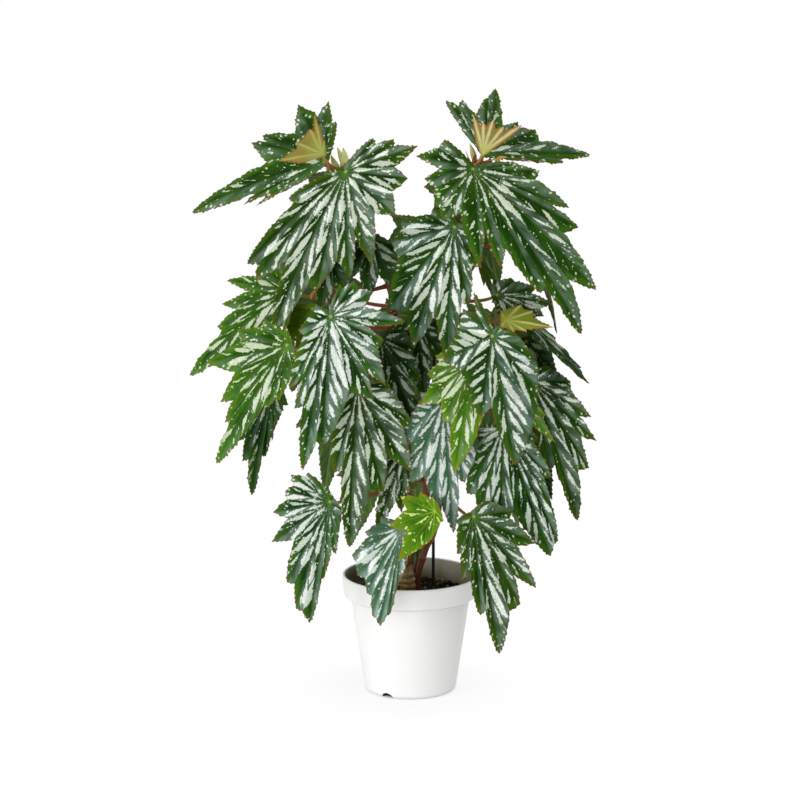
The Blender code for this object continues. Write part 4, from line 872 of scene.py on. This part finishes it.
def upper_skin(name, deep, lush, silver, haze, vein, edge, sheen_strength, sheen_tint="#728676", cover=0.0,
               spare=0.0, spotted=1.0, gloss=0.36):
    """The upper skin. Silver lies between the ribs in long streaks that taper at both ends,
    farther than a millimetre or so from any rib or vein, and breaks into spots towards the
    margin. A painted sheen greys the right-hand side of each lobe and turns the silver there
    near white, a painted highlight standing in for the reflection of a lamp. The green runs
    from deep to lush and the silver from haze to silver; cover widens the silver in mm, spare
    narrows the later streaks, and spotted is the size of the spots."""
    finish, add = new_finish(name)
    veins = add("SeparateXYZ", add("UVMap", uv_map="Veins"))
    blade_map = add("SeparateXYZ", add("UVMap", uv_map="Blade"))
    off = add("Math ABSOLUTE", veins.outputs["X"])
    rib = veins.outputs["Y"]
    along, reach = blade_map.outputs["X"], blade_map.outputs["Y"]
    edge_way = add("Attribute", attribute_name="margin").outputs["Fac"]
    half = add("Attribute", attribute_name="half").outputs["Fac"]
    place = add("TexCoord").outputs["Object"]

    # Three noises stretched along the ribs: which streaks grow wide or die out over 20 mm,
    # how their sides wander over 5 mm, and their ragged edge of a millimetre or two.
    grown = add("CombineXYZ", rib, along, reach)
    drift = add("VectorMath MULTIPLY", place, (9, 9, 9))
    noises = []
    for stretch, detail in (((0.16, 0.05, 0), 1), ((0.42, 0.15, 0), 1.5), ((0.8, 0.6, 0), 4)):
        way = add("VectorMath MULTIPLY_ADD", grown, stretch, drift)
        noises.append(add("TexNoise", {"Vector": way, "Scale": 1, "Detail": detail}))

    band = add("Math MULTIPLY_ADD", along, -0.014, off)
    band = add("Math SUBTRACT", band, 1.0)
    ahead = add("Math MAXIMUM", rib, 0)
    behind = add("Math MINIMUM", rib, 0)
    to_rib = add("Math PINGPONG", ahead, RIB_PITCH / 2)
    to_rib = add("Math SUBTRACT", to_rib, behind)
    between = add("Math SUBTRACT", to_rib, 1.0)
    depth = add("Math MINIMUM", band, between)

    # Past the first rib every streak has a width and a length of its own.
    streak = add("Math MULTIPLY", rib, 1 / RIB_PITCH)
    streak = add("Math FLOOR", streak)
    chance = add("TexWhiteNoise", add("CombineXYZ", streak, half))
    chance = add("SeparateColor", chance.outputs["Color"]).outputs
    later = add("MapRange", rib, -0.5, 2)
    wide = add("MapRange", chance[0], 0, 1, -1.7 - spare, 0.8 - spare)
    middle = add("MapRange", chance[1], 0, 1, 3, 12)
    length = add("MapRange", chance[2], 0, 1, 8, 18)
    taper = add("Math SUBTRACT", off, middle)
    taper = add("Math DIVIDE", taper, length)
    taper = add("Math POWER", taper, 2)
    wide = add("Math MULTIPLY_ADD", taper, -2.0, wide)
    depth = add("Math MULTIPLY_ADD", wide, later, depth)
    near = add("MapRange SMOOTHSTEP", edge_way, 2, 9, 1, 0)
    for noise, inner, outer in zip(noises, (3.5, 2.6, 4.2), (5, 5, 4.6)):
        swing = add("MapRange", near, 0, 1, inner, outer)
        jitter = add("Math SUBTRACT", noise, 0.5)
        depth = add("Math MULTIPLY_ADD", jitter, swing, depth)
    loss = add("MapRange", near, 0, 1, cover, cover - 1.8)
    depth = add("Math ADD", depth, loss)
    root = add("MapRange", reach, 2.5, 8, 1.4, 0)
    depth = add("Math SUBTRACT", depth, root)

    # Single spots of a millimetre or two, about 5 mm apart, most of them near the margin.
    spot_way = add("VectorMath MULTIPLY", grown, (0.27, 0.19, 0))
    spots = add("TexVoronoi", {"Vector": spot_way, "Scale": 1, "Randomness": 0.85})
    spot = add("SeparateColor", spots.outputs["Color"])
    size = add("MapRange", spot.outputs[0], 0.2, 1.0, 0.1 * spotted, 0.34 * spotted)
    spared = add("MapRange", edge_way, 3, 14, 1, 0.65)
    size = add("Math MULTIPLY", size, spared)
    inside = add("Math SUBTRACT", size, spots.outputs["Distance"])
    inside = add("Math MULTIPLY", inside, 8)
    depth = add("Math MAXIMUM", depth, inside)
    silvered = add("MapRange SMOOTHSTEP", depth, -0.05, 0.25)
    bright = add("MapRange SMOOTHSTEP", depth, 0.05, 0.8)

    # What lies over the green, as the share of each layer: the veins, the painted sheen on one
    # flank, the silver, the pale heart where the petiole joins, and the brown of the rim and tips.
    broad = add("TexNoise", {"Vector": place, "Scale": 34, "Detail": 3})
    mixed = add("Math MULTIPLY_ADD", near, 0.45, broad)
    lusher = add("MapRange", mixed, 0.4, 1.0)
    fading = add("MapRange", along, 3, 18, 0.8, 0.2)
    main = add("MapRange", off, 0.2, 0.7, 1, 0)
    main = add("Math MULTIPLY", main, fading)
    minor = add("MapRange", to_rib, 0.05, 0.4, 0.25, 0)
    lines = add("Math MAXIMUM", main, minor)
    # Painted sheen: in patches, the right-hand flank of each lobe is greyed as if it caught a lamp's
    # reflection.
    flank = add("MapRange SMOOTHSTEP", veins.outputs["X"], -0.8, 2.2, 0, sheen_strength)
    patchy = add("MapRange", noises[0], 0.38, 0.6, 0.25, 1)
    painted_sheen = add("Math MULTIPLY", flank, patchy)
    lifted = add("Math MULTIPLY_ADD", lines, -0.6, 1)
    greyed = add("Math MULTIPLY", painted_sheen, lifted)
    # Under the painted sheen the silver turns near white: a painted highlight.
    lit = add("Mix RGBA", painted_sheen, silver, "#f2f5f0")
    grain = add("TexNoise", {"Vector": place, "Scale": 700, "Detail": 3})
    grain = add("MapRange", grain, 0.3, 0.6, 0.5, 1)
    bright = add("Math MULTIPLY", bright, grain)
    metal = add("Mix RGBA", bright, haze, lit)
    heart = add("MapRange SMOOTHSTEP", reach, 0.4, 2.4, 0.8, 0)
    scorch = add("Math MULTIPLY_ADD", broad, 1.0, -0.12)
    rimmed = add("MapRange", edge_way, 0.2, 1.1, scorch, 0)
    tip = add("Math MAXIMUM", edge_way, off)
    far = add("MapRange", along, 20, 35, 0, scorch)
    tip = add("MapRange", tip, 0.8, 2.6, far, 0)
    rimmed = add("Math MAXIMUM", rimmed, tip)
    colour = add("Mix RGBA", lusher, deep, lush)
    for share, over in ((lines, vein), (greyed, sheen_tint), (silvered, metal), (heart, "#a3a94c"),
                        (rimmed, edge)):
        colour = add("Mix RGBA", share, colour, over)

    pores = add("TexNoise", {"Vector": place, "Scale": 1300, "Detail": 2})
    groove = add("MapRange SMOOTHSTEP", off, 0, 2.2)
    furrow = add("MapRange SMOOTHSTEP", to_rib, 0, 1.7, 0, 0.7)
    relief = add("Math ADD", groove, furrow)
    relief = add("Math MULTIPLY_ADD", silvered, 0.15, relief)
    relief = add("Math MULTIPLY_ADD", pores, 0.22, relief)
    bump = add("Bump", {"Height": relief, "Strength": 0.55, "Distance": 0.0007})
    rough = add("MapRange", silvered, 0, 1, gloss, gloss + 0.06)
    add("OutputMaterial", add("BsdfPrincipled", {
        "Base Color": colour, "Roughness": rough, "Normal": bump,
        "Specular IOR Level": 0.02, "Specular Tint": (0.9, 1, 0.85, 1),
    }))
    return finish


def under_skin(name, ground, vein):
    """The underside: duller and paler than the top, with the veins standing out."""
    finish, add = new_finish(name)
    veins = add("SeparateXYZ", add("UVMap", uv_map="Veins"))
    place = add("TexCoord").outputs["Object"]
    broad = add("TexNoise", {"Vector": place, "Scale": 60, "Detail": 4})
    to_rib = add("Math PINGPONG", veins.outputs["Y"], RIB_PITCH / 2)
    off = add("Math ABSOLUTE", veins.outputs["X"])
    main = add("MapRange", off, 0.5, 1.2, 1, 0)
    minor = add("MapRange", to_rib, 0.25, 0.7, 0.6, 0)
    lines = add("Math MAXIMUM", main, minor)
    body = add("Mix RGBA", broad, ground[0], ground[1])
    colour = add("Mix RGBA", lines, body, vein)
    bump = add("Bump", {"Height": lines, "Strength": 0.6, "Distance": 0.0006})
    add("OutputMaterial", add("BsdfPrincipled", {
        "Base Color": colour, "Roughness": 0.5, "Normal": bump,
        "Specular IOR Level": 0.25,
    }))
    return finish


def unfolding_skin(name, ridge, furrow, base, edge):
    """A leaf that is still unfolding: pale pleats along its veins, darker furrows between, a
    green base and a red-brown margin."""
    finish, add = new_finish(name)
    veins = add("SeparateXYZ", add("UVMap", uv_map="Veins"))
    blade_map = add("SeparateXYZ", add("UVMap", uv_map="Blade"))
    edge_way = add("Attribute", attribute_name="margin").outputs["Fac"]
    place = add("TexCoord").outputs["Object"]
    broad = add("TexNoise", {"Vector": place, "Scale": 150, "Detail": 3})
    off = add("Math ABSOLUTE", veins.outputs["X"])
    off = add("Math MULTIPLY_ADD", broad, 1.6, off)
    pleat = add("MapRange SMOOTHSTEP", off, 1.2, 3.2, 1, 0)
    rooted = add("MapRange", blade_map.outputs["Y"], 3, 18, 0.8, 0)
    rimmed = add("MapRange", edge_way, 0.3, 1.8, 0.6, 0)
    colour = furrow
    for share, over in ((pleat, ridge), (rooted, base), (rimmed, edge)):
        colour = add("Mix RGBA", share, colour, over)
    bump = add("Bump", {"Height": pleat, "Strength": 0.6, "Distance": 0.001})
    add("OutputMaterial", add("BsdfPrincipled", {
        "Base Color": colour, "Roughness": 0.5, "Normal": bump,
        "Specular IOR Level": 0.15,
    }))
    return finish


# Living leaf: a waxy skin over green flesh, with pockets of air under the skin that look
# silver. Old leaves are deep green, new ones fresh or bronze.
UPPER = {
    "mature": upper_skin("begonia_leaf_deep", "#102b04", "#32540e", "#bcc3b3", "#7b8e70",
                         "#4c722b", "#7a4a20", 0.75, cover=0.1),
    "speckled": upper_skin("begonia_leaf_speckled", "#143405", "#386314", "#c2cab6", "#859a72",
                           "#4f772c", "#7a3c1c", 0.5, spare=1.3, spotted=1.3),
    "satin": upper_skin("begonia_leaf_satin", "#112c05", "#2f5410", "#b8c0b2", "#788c72",
                        "#4e7536", "#7a4a20", 0.75, sheen_tint="#6a8377", cover=0.1, gloss=0.33),
    "bright": upper_skin("begonia_leaf_bright", "#1c4006", "#427216", "#c4ccb4", "#84a062",
                         "#5f8a2c", "#86622a", 0.25),
    "fresh": upper_skin("begonia_leaf_fresh", "#2c560b", "#527e13", "#cdd5b8", "#88a756",
                        "#7c9f30", "#9a7a2a", 0.35, sheen_tint="#93ab7c", cover=0.1),
    # The shade finish is a darker copy of the deep green, with dimmer silver, for leaves in the plant's
    # shadow: painted shade.
    "dark": upper_skin("begonia_leaf_shade", "#0c2403", "#24480b", "#93a088", "#58704d",
                       "#3a5a20", "#5f3a1a", 0.25, cover=-0.1),
    "olive": upper_skin("begonia_leaf_olive", "#34500d", "#577618", "#93a088", "#58704d",
                        "#6a7a26", "#8a5a24", 0, cover=-9, spotted=0),
    "silvered": upper_skin("begonia_leaf_silvered", "#102d07", "#335c17", "#c0c8bc", "#88998a",
                           "#4e7536", "#7a4a20", 0.7, sheen_tint="#768d80", cover=0.35),
    # This finish is greyed all over and has its flank sheen at full strength: painted sheen over the
    # whole leaf, besides its wide silver.
    "frosted": upper_skin("begonia_leaf_silver_and_sheen", "#33563a", "#4a6c4c", "#c8d0cc", "#93a598",
                          "#6b8a62", "#7a4a20", 1, sheen_tint="#8ca39a", cover=0.5),
    "lime": upper_skin("begonia_leaf_new", "#33600a", "#557f14", "#bfd487", "#97b448",
                       "#93ac36", "#a8642a", 0, cover=-0.9, spotted=1.3),
    "bronze": unfolding_skin("begonia_leaf_bronze", "#9c9548", "#7e7834", "#8e9c4c", "#84471f"),
    "curled": unfolding_skin("begonia_leaf_curled", "#d4cf74", "#83962a", "#8f9c30", "#b0702a"),
    "pleated": unfolding_skin("begonia_leaf_pleated", "#c9b981", "#7d7532", "#9daa54", "#94502a"),
}
UNDER = under_skin("begonia_leaf_underside", ("#436324", "#62853c"), "#84995a")
UNDER_NEW = under_skin("begonia_leaf_underside_new", ("#5f7a1c", "#82922e"), "#a8a850")

# Petiole skin: juicy and slightly glossy, red-brown at the cane and green by the blade.
stalk_skin, add = new_finish("begonia_petiole")
share = add("Attribute", attribute_name="margin").outputs["Fac"]
place = add("TexCoord").outputs["Object"]
mottle = add("TexNoise", {"Vector": place, "Scale": 300, "Detail": 4})
warm = add("Math MULTIPLY_ADD", mottle, 0.3, share)
shade = add("ValToRGB", warm, stops=((0.15, "#7c3418"), (0.7, "#9c5520"), (1, "#96852f")))
bump = add("Bump", {"Height": mottle, "Strength": 0.25, "Distance": 0.0004})
add("OutputMaterial", add("BsdfPrincipled", {
    "Base Color": shade, "Roughness": 0.38, "Normal": bump, "Specular IOR Level": 0.4,
}))

# A leaf that is still unfolding is alike on both faces, and a new one is bright below.
BELOW = {name: UPPER[name] for name in ("bronze", "curled", "pleated")} | {"lime": UNDER_NEW}
for number, leaf in enumerate(LEAVES):
    leaf_piece(leaf, [UPPER[leaf.finish], BELOW.get(leaf.finish, UNDER), stalk_skin],
               np.random.default_rng(100 + number))


# A pale bud stands at each growing tip between its stipules, the papery scales that sheathed
# it. On the right a spent flower stalk keeps its dry bracts, and on the left two brown scraps
# hang among the leaves without touching them.


def papery(name, dark, pale, rough):
    """A thin scale: two tones mottled along its length, with fine lengthwise folds."""
    finish, add = new_finish(name)
    place = add("TexCoord").outputs["Object"]
    mottle = add("TexNoise", {"Vector": place, "Scale": 380, "Detail": 4})
    shade = add("Mix RGBA", mottle, dark, pale)
    bump = add("Bump", {"Height": mottle, "Strength": 0.3, "Distance": 0.0005})
    add("OutputMaterial", add("BsdfPrincipled", {
        "Base Color": shade, "Roughness": rough, "Normal": bump,
        "Specular IOR Level": 0.3,
    }))
    return finish


def sliver(start, end, bow, width, facing):
    """A pointed scale 0.7 mm thick: ellipses w = width sin(pi t^0.7) wide on the line
    start + (end - start) t + 4 bow t (1 - t), broadside to facing."""
    t = np.linspace(0.03, 0.97, 16)[:, None]
    start, end, facing = np.array(start, float), np.array(end, float), np.array(facing, float)
    path = start + (end - start) * t + np.array(bow) * 4 * t * (1 - t)
    side = unit(np.cross(end - start, facing))
    half = width / 2 * np.sin(math.pi * t**0.7)
    v = (np.arange(12) * math.pi / 6)[:, None]
    rings = path[:, None] + half[:, None] * np.cos(v) * side
    rings = rings - np.minimum(half, 0.35)[:, None] * np.sin(v) * facing
    return skin(rings, start, end)


bud_skin = papery("begonia_bud_scale", "#c0c65e", "#e6e8ae", 0.45)
red_scale = papery("begonia_red_stipule", "#a8401a", "#d8823a", 0.4)
dry_scale = papery("dry_begonia_bract", "#b07a2c", "#e2bb6a", 0.7)

# A bud: the share of its lean, the height over the cane and the radius at four places.
share, rise, girth = np.array(((0, 0, 1.6), (0.25, 5, 2.8), (0.6, 11, 2.2), (1, 17, 0.5))).T
for name, stem, lean in (("bud_left", "left", -6), ("bud_right", "right", -5)):
    x, y, z, _ = CANES[stem].line[-1]
    knots = np.stack([x + lean * share, np.full(len(share), y), z + 0.7 + rise, girth], -1)
    line = smooth_line(knots, 6)
    points, faces = skin(sweep(line[:, :3], line[:, 3], 12), line[0, :3], line[-1, :3])
    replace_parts(piece(f"{name}_scales", points, faces, [bud_skin]), name)

# A scale: its name, its two ends, how far its middle bows, its width, where its broad side
# faces, and its finish.
for name, start, end, bow, width, facing, finish in (
    ("stipule_left_tall", (-64, -9, 502), (-63, -11, 524), (2, 0, 0), 8, (0.3, -0.95, 0), bud_skin),
    ("stipule_left_low", (-66, -10, 502), (-74, -12, 517), (-1, -1, 0), 6.5, (-0.5, -0.86, 0.1),
     bud_skin),
    ("stipule_left_side", (-66, -8, 501), (-80, -9, 504), (0, 0, -2), 3, (0, -0.9, 0.43), dry_scale),
    ("stipule_right_red", (58, -7, 506), (70, -11, 509), (0, 0, 2), 6, (0, -0.95, 0.3), red_scale),
    ("stipule_right_tall", (60, -8, 504), (61, -10, 519), (-2, 0, 0), 3.6, (0, -1, 0), red_scale),
    ("stipule_right_thin", (58, -6, 505), (51, -7, 521), (-1, 0, 0), 1.4, (0, -1, 0), dry_scale),
    ("flower_stalk", (62, -7, 507), (84, -12, 512), (0, 0, 1.5), 1.8, (0, -1, 0), dry_scale),
    ("bract_upper", (78, -11, 511), (90, -13, 514), (0, 0, 1.5), 3.6, (0, -0.9, 0.43), dry_scale),
    ("bract_lower", (80, -11, 512), (87, -12, 509), (0, 0, -1), 2.6, (0, -0.9, -0.43), dry_scale),
    ("scrap_upper", (-84, -14, 391), (-87, -22, 378), (3, -2, 0), 5, (-0.4, -0.9, 0), dry_scale),
    ("scrap_lower", (-88, -15, 390), (-93, -21, 381), (-2, 0, 0), 3.4, (0.5, -0.86, 0), dry_scale),
):
    points, faces = sliver(start, end, bow, width, facing)
    piece(name, points, faces, [finish])


# The floor is a plain white sweep. It keeps the plant's shadow near the pot, and away from
# it fades to the white of the background.


def shown_straight(add):
    """1 for a ray that shows what it meets as it is: a camera, glossy or transmission ray."""
    rays = add("LightPath").outputs
    either = add("Math MAXIMUM", rays["Is Camera Ray"], rays["Is Glossy Ray"])
    return add("Math MAXIMUM", either, rays["Is Transmission Ray"])


mesh = bpy.data.meshes.new("floor")
mesh.from_pydata([(-40, -40, 0), (40, -40, 0), (40, 40, 0), (-40, 40, 0)], [], [(0, 1, 2, 3)])
floor = bpy.data.objects.new("floor", mesh)
bpy.context.scene.collection.objects.link(floor)
paper, add = new_finish("white_paper_sweep")
place = add("TexCoord").outputs["Object"]
far = add("VectorMath LENGTH", place).outputs["Value"]
fade = add("MapRange", far, 0.045, 0.11, 0.88, 0.998)
clear = add("MapRange", far, 0.036, 0.045)
fade = add("Math MULTIPLY", fade, clear)
share = add("Math MULTIPLY", shown_straight(add), fade)
matt = add("BsdfDiffuse", {"Color": "#e8e8e8"})
glow = add("Emission", {"Color": (1, 1, 1, 1), "Strength": 1})
add("OutputMaterial", add("MixShader", share, matt, glow))
mesh.materials.append(paper)


# The light is a white room, two large soft lamps in front on the left, one aimed at the leaves
# and one at the pot, and a smaller one high on the right that puts the sheen on the leaves.

world = bpy.data.worlds.new("white_room")
bpy.context.scene.world = world
world.use_nodes = True
world.node_tree.nodes.clear()
add = partial(add_node, world)
level = add("MapRange", shown_straight(add), 0, 1, 0.5, 1)
add("OutputWorld", add("Background", (1, 1, 1, 1), level))

# A lamp: its name, its place, what it is aimed at, its size and its power.
for name, at, aim, size, power in (
    ("key", (-1.9, -1.5, 0.7), (0, 0, 0.3), 1.2, 24),
    ("front", (-0.8, -2.4, 0.5), (0, 0, 0.12), 1.0, 22),
    ("sheen", (1.35, -0.55, 1.95), (0, 0, 0.35), 0.75, 13),
):
    light = bpy.data.lights.new(name, "AREA")
    light.shape, light.size, light.energy = "SQUARE", size, power
    lamp = bpy.data.objects.new(name, light)
    lamp.location = at
    back = np.subtract(at, aim)
    lamp.rotation_euler = (math.acos(back[2] / np.linalg.norm(back)), 0, math.atan2(back[0], -back[1]))
    bpy.context.scene.collection.objects.link(lamp)

# The camera stands 3 m in front, a little above the plant, with a long lens.
CAMERA_AT, CAMERA_TILT, LENS = (-0.010, -3.0, 0.900), 78.36, 145.8
lens = bpy.data.cameras.new("camera")
lens.lens, lens.sensor_width = LENS, 36
camera = bpy.data.objects.new("camera", lens)
camera.location = CAMERA_AT
camera.rotation_euler = (math.radians(CAMERA_TILT), 0, 0)
bpy.context.scene.collection.objects.link(camera)
bpy.context.scene.camera = camera
bpy.context.scene.view_settings.view_transform = "Standard"
